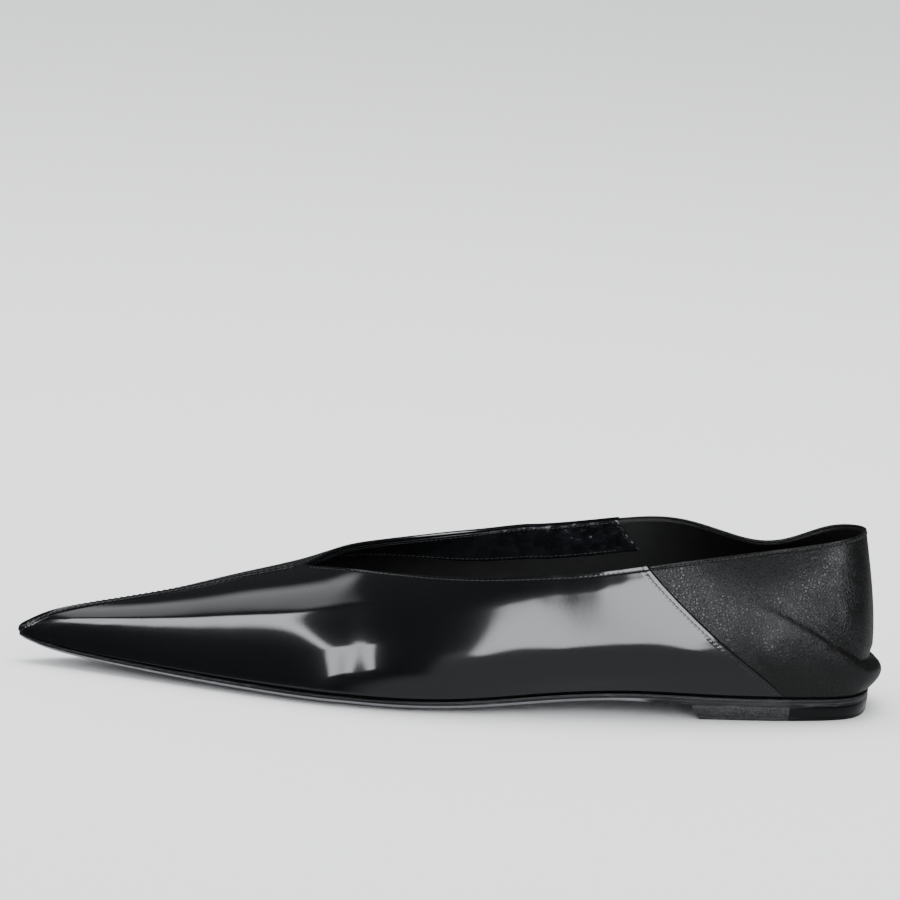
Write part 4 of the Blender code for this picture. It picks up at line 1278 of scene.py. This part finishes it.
def soft_leather(looks, groups):
    """Matte nappa: black, with a satin gloss and painted highlights on the tops of its small cells.
    Its grain is worn smooth low down where the leather rolls, and its painted highlights fade there.
    Its stitches lie in a groove under the edge, darkened by painted shade."""
    material, nodes, shader, here = new_material("soft_leather", looks.soft_colour, 0.5)
    shader.inputs["Specular IOR Level"].default_value = SOFT_GLOSS
    grain = group(nodes, groups["grain"], (("Vector", here),), Cell=looks.grain_cell, Stretch=0.5)
    low = nodes.between(nodes.axis(here, "Z"), 0.013, 0.024)
    patches = nodes.noise(here, 110.0, 3.0)
    # share thins the grain in random patches and low down, where the leather rolls, and thins its painted
    # highlights with it
    share = nodes.maths("MULTIPLY", nodes.between(patches, 0.30, 0.60, 0.55, 1.0),
                        nodes.maths("MULTIPLY_ADD", low, 0.8, 0.2))
    height = nodes.maths("MULTIPLY", grain.outputs["Height"], share)
    first = bump(nodes, shader, height, looks.grain_depth)
    pull, shadow = sewn(nodes, groups)
    bump(nodes, shader, pull, 0.00012, first)
    fine = nodes.noise(here, 1500.0, 1.0)
    # Painted highlights: lighter specks on the tops of the grain's cells, where glints would be
    painted_glints = nodes.maths("MULTIPLY", grain.outputs["Mask"], nodes.between(fine, 0.38, 0.62))
    # Painted shade: the stitch rows' groove takes those painted highlights out
    tone = nodes.maths("MULTIPLY", painted_glints, nodes.maths("SUBTRACT", 1.0, shadow))
    # The lighter colour of the painted highlights
    light = [2.4 * c for c in looks.soft_colour]
    # Mask of the painted highlights, with the groove's painted shade in it
    painted_light_and_shade = nodes.maths("MULTIPLY", tone, share)
    rough = nodes.between(tone, 0.0, 1.0, looks.grain_roughness + 0.18, looks.grain_roughness)
    rough = nodes.maths("MULTIPLY_ADD", shadow, 0.3, rough)
    paint(nodes, shader, painted_light_and_shade, looks.soft_colour, light, rough)
    return material


def lining_leather(looks, groups):
    """Thin matte lining with a tight grain."""
    material, nodes, shader, here = new_material("lining_leather", looks.lining_colour, 0.5)
    grain = group(nodes, groups["grain"], (("Vector", here),), Cell=0.0005, Stretch=0.4)
    bump(nodes, shader, grain.outputs["Height"], 0.00002)
    dust = group(nodes, groups["dust"], (("Vector", here),), Spacing=0.006, Amount=0.2, Size=0.04)
    rough = nodes.between(grain.outputs["Mask"], 0.0, 1.0, 0.60, 0.46)
    paint(nodes, shader, dust.outputs["Mask"], looks.lining_colour, (0.12, 0.12, 0.12), rough)
    return material


def facing_leather(looks, groups):
    """The glossy band inside the edge, crinkled in places, with painted highlights where the crinkles
    rise.
    """
    colour = tuple(2.0 * c for c in looks.patent_colour)
    material, nodes, shader, here = new_material("facing_leather", colour, 0.16)
    crinkle = nodes.noise(here, 300.0, 3.0)
    bump(nodes, shader, crinkle, 0.00045)
    # Painted highlights: the colour lightens where the crinkles rise
    light = tuple(1.8 * c for c in colour)
    tone = nodes.between(crinkle, 0.35, 0.65)
    rough = nodes.between(crinkle, 0.3, 0.7, 0.12, 0.26)
    paint(nodes, shader, tone, colour, light, rough)
    return material


def sock_leather(looks, groups):
    """Charcoal sock: a very fine nap with specks of dust."""
    material, nodes, shader, here = new_material("sock_leather", looks.sock_colour, 0.72)
    shader.inputs["Sheen Weight"].default_value = 0.08
    nap = nodes.noise(here, 1800.0, 3.0)
    bump(nodes, shader, nap, 0.00005)
    dust = group(nodes, groups["dust"], (("Vector", here),), Spacing=0.0045, Amount=0.22, Size=0.045)
    rough = nodes.between(nap, 0.3, 0.7, 0.78, 0.66)
    paint(nodes, shader, dust.outputs["Mask"], looks.sock_colour, (0.20, 0.20, 0.19), rough)
    return material


def stack_marks(nodes, groups, here):
    """Where the stack of the heel and of the sole over it is grainy, from the breast as far as WRAP_X:
    its marks of grain and fine lines, the height of its grain, and 1 there and 0 beyond."""
    scuffs = group(nodes, groups["scuffs"], (("Vector", here),), Fineness=1100.0, Amount=0.9)
    grain = group(nodes, groups["grain"], (("Vector", here),), Cell=0.0005, Stretch=0.5)
    along = nodes.axis(here, "X")
    front = nodes.maths("MULTIPLY", nodes.between(along, BREAST_X - 0.004, BREAST_X),
                        nodes.between(along, WRAP_X - 0.0003, WRAP_X + 0.0003, 1.0, 0.0))
    marks = nodes.maths("MULTIPLY_ADD", scuffs.outputs["Mask"], 0.7,
                        nodes.maths("MULTIPLY", grain.outputs["Mask"], 0.45))
    return (nodes.maths("MULTIPLY", marks, front),
            nodes.maths("MULTIPLY", grain.outputs["Height"], front), front)


def sole_leather(looks, groups):
    """Painted sole leather: dark upright edge, a bevel and underside lightened by a painted reflection
    of the bright floor, fine scuffs along it, and the heel's grain where it lies over the heel."""
    material, nodes, shader, here = new_material("sole_leather", looks.sole_colour, 0.38)
    shader.inputs["Specular IOR Level"].default_value = SOLE_GLOSS
    facing = nodes.add("ShaderNodeTexCoord").outputs["Normal"]
    # Painted reflection of the bright floor: faces that look down get a lighter colour
    painted_floor_reflection = nodes.between(nodes.axis(facing, "Z"), -0.40, -0.12, 1.0, 0.0)
    scuffs = group(nodes, groups["scuffs"], (("Vector", here),), Fineness=1500.0, Amount=0.8)
    marks, relief, _ = stack_marks(nodes, groups, here)
    # Partly painted floor reflection, partly real scuffs and grain marks
    tone = nodes.maths("MULTIPLY_ADD", painted_floor_reflection, 0.75,
                       nodes.maths("MULTIPLY", scuffs.outputs["Mask"], 0.2))
    tone = nodes.maths("MAXIMUM", tone, nodes.maths("MULTIPLY", marks, 0.2))
    # One lighter colour for the painted floor reflection, the scuffs and the grain marks
    light = [32.0 * c for c in looks.sole_colour]
    first = bump(nodes, shader, relief, 0.00004)
    bump(nodes, shader, scuffs.outputs["Mask"], 0.00003, first)
    rough = nodes.between(tone, 0.0, 0.6, 0.36, 0.55)
    paint(nodes, shader, tone, looks.sole_colour, light, rough)
    return material


def heel_leather(name, colour, roughness, groups):
    """Stacked leather of the heel: grainy with fine lines along it as far as WRAP_X, and a smoother,
    darker cover from there round the back."""
    material, nodes, shader, here = new_material(name, colour, roughness)
    shader.inputs["Specular IOR Level"].default_value = HEEL_GLOSS
    marks, relief, front = stack_marks(nodes, groups, here)
    light = [36.0 * c for c in colour]
    bump(nodes, shader, relief, 0.00004)
    rough = nodes.between(front, 0.0, 1.0, HEEL_BACK_ROUGHNESS, roughness)
    paint(nodes, shader, marks, colour, light, rough)
    return material


def sewing_thread(looks, groups):
    """Waxed black thread: a fine twist that catches the light, with painted highlights along its twist.
    """
    material, nodes, shader, here = new_material("sewing_thread", looks.thread_colour, 0.45)
    twist = nodes.add("ShaderNodeTexWave", (("Vector", here),), in_Scale=900.0, in_Distortion=2.0,
                      bands_direction="DIAGONAL")
    bump(nodes, shader, twist.outputs["Fac"], 0.00006)
    # Painted highlights: the twist's bands are lighter in colour
    light = [9.0 * c for c in looks.thread_colour]
    rough = nodes.between(twist.outputs["Fac"], 0.0, 1.0, 0.50, 0.38)
    paint(nodes, shader, twist.outputs["Fac"], looks.thread_colour, light, rough)
    return material


def groups_and_materials(scene):
    """The shared node groups, and every material of the shoe by name, made once."""
    known = scene.get("shoe_materials_ready")
    names = ("patent_leather", "soft_leather", "lining_leather", "facing_leather", "sock_leather",
             "sole_leather", "heel_stack", "heel_tip", "sewing_thread")
    if known:
        return {name: bpy.data.materials[OWN + name] for name in names}
    looks = scene.shoe_leathers
    groups = {"grain": grain_group(), "dust": dust_group(), "pull": pull_group(), "scuffs": scuff_group()}
    made = [patent_leather(looks, groups), soft_leather(looks, groups), lining_leather(looks, groups),
            facing_leather(looks, groups), sock_leather(looks, groups), sole_leather(looks, groups),
            heel_leather("heel_stack", tuple(looks.heel_colour), 0.40, groups),
            heel_leather("heel_tip", tuple(0.8 * c for c in looks.heel_colour), 0.46, groups),
            sewing_thread(looks, groups)]
    scene["shoe_materials_ready"] = True
    return dict(zip(names, made))


# Stage


def direction(azimuth, elevation):
    """Unit vector: azimuth 0 is towards -Y and 90 towards +X, elevation is over the floor."""
    a, e = math.radians(azimuth), math.radians(elevation)
    return Vector((math.sin(a) * math.cos(e), -math.cos(a) * math.cos(e), math.sin(e)))


def soft_light(name, start, end, width, radiance):
    """A rectangular light along the line from start to end, facing the shoe, that gloss misses."""
    start, end = Vector(start), Vector(end)
    middle = 0.5 * (start + end)
    length = (end - start).length
    lamp = bpy.data.lights.new(name, "AREA")
    lamp.shape = "RECTANGLE"
    lamp.size, lamp.size_y = length, width
    lamp.energy = radiance * math.pi * length * width
    box = bpy.data.objects.new(name, lamp)
    bpy.context.scene.collection.objects.link(box)
    z = middle.normalized()
    x = (end - start).normalized()
    x = (x - z * x.dot(z)).normalized()
    y = z.cross(x)
    box.matrix_world = Matrix.Translation(middle) @ Matrix((x, y, z)).transposed().to_4x4()
    box.visible_camera = False
    box.visible_glossy = False
    return box


def make_floor(colour):
    """A wide pale floor, as a grid of a few quads."""
    side = np.linspace(-FLOOR_HALF, FLOOR_HALF, 9)
    x, y = np.meshgrid(side, side, indexing="ij")
    points = np.stack([x, y, np.zeros_like(x)], -1).reshape(-1, 3)
    index = np.arange(81).reshape(9, 9)
    faces = np.stack([index[:-1, :-1], index[1:, :-1], index[1:, 1:], index[:-1, 1:]], -1).reshape(-1, 4)
    mesh = bpy.data.meshes.new("floor")
    mesh.from_pydata(points.tolist(), [], faces.tolist())
    material, nodes, shader, here = new_material("floor_paper", colour, 0.9)
    tooth = nodes.noise(here, 400.0, 2.0)
    bump(nodes, shader, tooth, 0.00002)
    mesh.materials.append(material)
    floor = bpy.data.objects.new("floor", mesh)
    bpy.context.scene.collection.objects.link(floor)
    return floor


def make_camera():
    """The camera of the photograph: it looks past AIM so that AIM falls on AIM_PIXEL."""
    lens_pixels = PIXELS_PER_MM * CAMERA_AWAY
    back = direction(CAMERA_AZIMUTH, CAMERA_ELEVATION)
    aim = Vector(to_frame(AIM))
    right = Vector((0.0, 0.0, 1.0)).cross(back).normalized()
    up = back.cross(right)
    roll = math.radians(CAMERA_ROLL)
    x = right * math.cos(roll) - up * math.sin(roll)
    y = back.cross(x)
    off_x = (AIM_PIXEL[0] - PICTURE / 2) / lens_pixels
    off_y = -(AIM_PIXEL[1] - PICTURE / 2) / lens_pixels
    z = (back + x * off_x + y * off_y).normalized()
    x = (x - z * x.dot(z)).normalized()
    y = z.cross(x)
    data = bpy.data.cameras.new("camera")
    data.sensor_width = SENSOR
    data.lens = lens_pixels / PICTURE * SENSOR
    data.clip_end = 50.0
    camera = bpy.data.objects.new("camera", data)
    bpy.context.scene.collection.objects.link(camera)
    turn = Matrix((x, y, z)).transposed().to_4x4()
    camera.matrix_world = Matrix.Translation(aim + back * CAMERA_AWAY * MM) @ turn
    bpy.context.scene.camera = camera
    return camera


def box_sides(softness, corners):
    """Sides of a soft box from its corners in order, each an azimuth and elevation in degrees: the
    plane through two corners and the shoe, its normal turned to the box's middle."""
    ways = [direction(azimuth, elevation) for azimuth, elevation in corners]
    middle = sum(ways, Vector((0.0, 0.0, 0.0)))
    sides = []
    for one, two in zip(ways, ways[1:] + ways[:1]):
        across = one.cross(two).normalized()
        if across.dot(middle) < 0.0:
            across = -across
        sides.append((tuple(across), -0.25 * softness, softness))
    return tuple(sides)


# The soft boxes that only gloss sees. A side is (normal, offset, softness): light where the direction
# from the shoe, dotted with the normal, is past the offset. Azimuth 0 is -Y, x is towards the heel.
SOFT_BOXES = (
    ("quarter_box", 1.0, box_sides(0.05, ((10.5, -12), (20, -22), (31, -8), (41, 42), (66, 62),
                                          (25, 68), (6.5, 50)))),
    ("toe_arc", 1.15, (((-0.524, 0.516, -0.678), -0.412, 0.045),
                       ((0.524, -0.516, 0.678), 0.315, 0.04),
                       ((0.0, 0.0, 1.0), 0.25, 0.08), ((0.0, -1.0, 0.0), 0.06, 0.06))),
    ("toe_foot", 1.05, box_sides(0.03, ((-34.5, 20), (-24.5, -17), (-20.5, -16), (-28, 21)))),
    ("toe_haze", 0.2, (((-0.893, 0.182, -0.411), -0.06, 0.06),
                       ((0.893, -0.182, 0.411), -0.09, 0.06),
                       ((0.0, 1.0, 0.0), -0.05, 0.15), ((0.0, 0.0, 1.0), 0.55, 0.2))),
)


def soft_box_group():
    """Masks of the soft boxes over directions. A box is where it is on the light side of every one
    of its planes, each softened over a small angle. Floor is 1 below, and low on the heel's side."""
    outputs = [name for name, _, _ in SOFT_BOXES] + ["Floor"]
    nodes, given, made = new_group("soft_boxes", (("Vector", None),), outputs)

    def past(direction_to, offset, softness):
        node = nodes.add("ShaderNodeVectorMath", operation="DOT_PRODUCT",
                         links=((0, given.outputs["Vector"]),))
        node.inputs[1].default_value = direction_to
        return nodes.between(node.outputs["Value"], offset, offset + softness)

    for name, _, sides in SOFT_BOXES:
        mask = past(*sides[0])
        for side in sides[1:]:
            mask = nodes.maths("MULTIPLY", mask, past(*side))
        nodes.tree.links.new(mask, made.inputs[name])
    below = past((0.0, 0.0, -1.0), 0.42, 0.16)
    heelwards = nodes.maths("MULTIPLY", past((1.0, 0.0, 0.0), 0.03, 0.10),
                            past((0.0, 0.0, -1.0), 0.04, 0.10))
    nodes.tree.links.new(nodes.maths("MAXIMUM", below, heelwards), made.inputs["Floor"])
    return nodes.tree


def make_world(colour, stage):
    """Even soft light for everything but gloss, which sees the dim room and its soft boxes."""
    world = bpy.data.worlds.new("studio")
    world.use_nodes = True
    bpy.context.scene.world = world
    nodes = Nodes(world.node_tree)
    even = world.node_tree.nodes["Background"]
    even.inputs["Color"].default_value = tuple(colour) + (1.0,)
    even.inputs["Strength"].default_value = stage.surround
    way = nodes.add("ShaderNodeTexCoord").outputs["Generated"]
    boxes = group(nodes, soft_box_group(), (("Vector", way),))
    total = nodes.maths("MULTIPLY_ADD", boxes.outputs["Floor"], stage.floor_glow, stage.room_glow)
    for name, share, _ in SOFT_BOXES:
        level = nodes.maths("MULTIPLY", boxes.outputs[name], share * stage.box_light)
        total = nodes.maths("MAXIMUM", total, level)
    room = nodes.add("ShaderNodeBackground", (("Strength", total),))
    room.inputs["Color"].default_value = ROOM_COLOUR
    ray = nodes.add("ShaderNodeLightPath")
    either = nodes.add("ShaderNodeMixShader", ((0, ray.outputs["Is Glossy Ray"]),))
    world.node_tree.links.new(even.outputs[0], either.inputs[1])
    world.node_tree.links.new(room.outputs[0], either.inputs[2])
    world.node_tree.links.new(either.outputs[0], world.node_tree.nodes["World Output"].inputs[0])


# Soft lights, in metres: name, start, end, width, and share of the overhead setting
LIGHTS = (("overhead", (-0.7, 0.25, 1.5), (0.7, 0.25, 1.5), 1.2, 1.0),
          ("front_fill", (-0.6, -1.4, 0.8), (0.6, -1.4, 0.8), 0.6, 0.4))


def make_stage(stage):
    """Floor, camera, world and lights. Gloss sees only the world."""
    floor = make_floor(tuple(stage.floor_colour))
    floor.visible_glossy = False
    make_world(SURROUND_COLOUR, stage)
    make_camera()
    for name, start, end, width, share in LIGHTS:
        soft_light(name, start, end, width, stage.overhead * share)


# Settings, operators and panel


class ShoeLeathers(bpy.types.PropertyGroup):
    """Colours and finishes of the shoe's materials."""

    patent_colour: bpy.props.FloatVectorProperty(
        name="Patent leather", description="Colour under the gloss of the vamp", size=3,
        subtype="COLOR", min=0.0, max=1.0, default=(0.0026, 0.0030, 0.0036))
    patent_roughness: bpy.props.FloatProperty(
        name="Patent roughness", description="How blurred the reflections in the vamp are",
        min=0.0, max=1.0, default=0.07)
    soft_colour: bpy.props.FloatVectorProperty(
        name="Soft leather", description="Colour of the back panel", size=3, subtype="COLOR",
        min=0.0, max=1.0, default=(0.0035, 0.0035, 0.0037))
    grain_cell: bpy.props.FloatProperty(
        name="Grain", description="Size of one cell of the soft leather's grain",
        unit="LENGTH", min=0.0001, max=0.005, default=0.00100)
    grain_depth: bpy.props.FloatProperty(
        name="Grain depth", description="Depth of the soft leather's grain",
        unit="LENGTH", min=0.0, max=0.001, default=0.00008)
    grain_roughness: bpy.props.FloatProperty(
        name="Grain roughness", description="Roughness of the gloss on the tops of the grain",
        min=0.0, max=1.0, default=0.26)
    lining_colour: bpy.props.FloatVectorProperty(
        name="Lining", description="Colour of the lining", size=3, subtype="COLOR",
        min=0.0, max=1.0, default=(0.006, 0.006, 0.006))
    sock_colour: bpy.props.FloatVectorProperty(
        name="Sock", description="Colour of the sock that the foot lies on", size=3,
        subtype="COLOR", min=0.0, max=1.0, default=(0.010, 0.010, 0.010))
    sole_colour: bpy.props.FloatVectorProperty(
        name="Sole", description="Colour of the outsole and its edge", size=3, subtype="COLOR",
        min=0.0, max=1.0, default=(0.0070, 0.0073, 0.0078))
    heel_colour: bpy.props.FloatVectorProperty(
        name="Heel", description="Colour of the heel", size=3, subtype="COLOR",
        min=0.0, max=1.0, default=(0.0035, 0.0036, 0.0038))
    thread_colour: bpy.props.FloatVectorProperty(
        name="Thread", description="Colour of the sewing thread", size=3, subtype="COLOR",
        min=0.0, max=1.0, default=(0.0045, 0.0045, 0.0045))


class ShoeSewing(bpy.types.PropertyGroup):
    """Sizes of the stitches."""

    toe_pitch: bpy.props.FloatProperty(
        name="Toe stitch", description="Length of a stitch of the toe's seam", unit="LENGTH",
        min=0.0008, max=0.01, default=0.00195)
    pitch: bpy.props.FloatProperty(
        name="Stitch", description="Length of a stitch of the other rows", unit="LENGTH",
        min=0.0008, max=0.01, default=0.00160)
    thread: bpy.props.FloatProperty(
        name="Thread", description="Half of the thread's thickness", unit="LENGTH",
        min=0.00005, max=0.001, default=0.00015)
    lean: bpy.props.FloatProperty(
        name="Lean", description="How far each stitch leans across its row, as a slope",
        min=-1.0, max=1.0, default=0.16)


class ShoeStage(bpy.types.PropertyGroup):
    """Floor and lights."""

    floor_colour: bpy.props.FloatVectorProperty(
        name="Floor", description="Colour of the floor", size=3, subtype="COLOR",
        min=0.0, max=1.0, default=(0.86, 0.86, 0.86))
    surround: bpy.props.FloatProperty(
        name="Surround", description="Strength of the even light round the stage",
        min=0.0, max=10.0, default=1.35)
    overhead: bpy.props.FloatProperty(
        name="Overhead", description="Brightness of the broad light above",
        min=0.0, max=50.0, default=5.8)
    box_light: bpy.props.FloatProperty(
        name="Soft boxes", description="Brightness of the soft boxes seen in the gloss",
        min=0.0, max=100.0, default=9.6)
    floor_glow: bpy.props.FloatProperty(
        name="Floor glow", description="Brightness of the floor seen in the gloss",
        min=0.0, max=10.0, default=0.48)
    room_glow: bpy.props.FloatProperty(
        name="Room glow", description="Brightness of the dim room seen in the gloss",
        min=0.0, max=10.0, default=0.05)


def finished(pieces):
    """What an operator returns, once it is sure that its pieces are there."""
    for piece in pieces:
        if piece is None or len(piece.data.polygons) == 0:
            raise RuntimeError("a piece of the shoe came out empty")
    return {"FINISHED"}


class SHOE_OT_vamp(bpy.types.Operator):
    """Builds the patent leather vamp"""

    bl_idname = "shoe.vamp"
    bl_label = "Vamp"

    def execute(self, context):
        materials = groups_and_materials(context.scene)
        return finished([make_vamp(context.scene.shoe_sewing, materials["patent_leather"])])


class SHOE_OT_back(bpy.types.Operator):
    """Builds the soft leather back panel with its fold and roll"""

    bl_idname = "shoe.back"
    bl_label = "Back panel"

    def execute(self, context):
        materials = groups_and_materials(context.scene)
        return finished([make_back(context.scene.shoe_sewing, materials["soft_leather"])])


class SHOE_OT_linings(bpy.types.Operator):
    """Builds the lining, the facing inside the edge and the sock"""

    bl_idname = "shoe.linings"
    bl_label = "Lining, facing and sock"

    def execute(self, context):
        materials = groups_and_materials(context.scene)
        return finished([make_lining(materials["lining_leather"]),
                         make_facing(materials["facing_leather"]),
                         make_sock(materials["sock_leather"])])


class SHOE_OT_stitching(bpy.types.Operator):
    """Builds every row of stitches"""

    bl_idname = "shoe.stitching"
    bl_label = "Stitches"

    def execute(self, context):
        materials = groups_and_materials(context.scene)
        return finished(make_stitching(context.scene.shoe_sewing, materials["sewing_thread"]))


class SHOE_OT_sole(bpy.types.Operator):
    """Builds the outsole and the heel"""

    bl_idname = "shoe.sole"
    bl_label = "Outsole and heel"

    def execute(self, context):
        materials = groups_and_materials(context.scene)
        heel = make_heel(materials["heel_stack"], materials["heel_tip"])
        return finished([make_outsole(materials["sole_leather"])] + heel)


class SHOE_OT_stage(bpy.types.Operator):
    """Builds the floor, the lights and the camera"""

    bl_idname = "shoe.stage"
    bl_label = "Stage"

    def execute(self, context):
        make_stage(context.scene.shoe_stage)
        return {"FINISHED"}


class SHOE_PT_panel(bpy.types.Panel):
    """Lists the shoe's settings and operators"""

    bl_idname = "SHOE_PT_panel"
    bl_label = "Pointed toe flat shoe"
    bl_space_type = "VIEW_3D"
    bl_region_type = "UI"
    bl_category = "Shoe"

    def draw(self, context):
        for owner in (context.scene.shoe_leathers, context.scene.shoe_sewing, context.scene.shoe_stage):
            box = self.layout.box()
            for key in owner.__annotations__:
                box.prop(owner, key)
        for operator in OPERATORS:
            self.layout.operator(operator.bl_idname)


OPERATORS = (SHOE_OT_vamp, SHOE_OT_back, SHOE_OT_linings, SHOE_OT_stitching, SHOE_OT_sole,
             SHOE_OT_stage)
CLASSES = (ShoeLeathers, ShoeSewing, ShoeStage) + OPERATORS + (SHOE_PT_panel,)


def register():
    """Registers the classes and hangs the settings on the scene."""
    for item in CLASSES:
        bpy.utils.register_class(item)
    bpy.types.Scene.shoe_leathers = bpy.props.PointerProperty(type=ShoeLeathers)
    bpy.types.Scene.shoe_sewing = bpy.props.PointerProperty(type=ShoeSewing)
    bpy.types.Scene.shoe_stage = bpy.props.PointerProperty(type=ShoeStage)


def unregister():
    """Takes back what register did."""
    del bpy.types.Scene.shoe_stage
    del bpy.types.Scene.shoe_sewing
    del bpy.types.Scene.shoe_leathers
    for item in reversed(CLASSES):
        bpy.utils.unregister_class(item)


def main():
    """Builds everything in order."""
    register()
    bpy.ops.shoe.vamp()
    bpy.ops.shoe.back()
    bpy.ops.shoe.linings()
    bpy.ops.shoe.stitching()
    bpy.ops.shoe.sole()
    bpy.ops.shoe.stage()


if __name__ == "__main__":
    main()
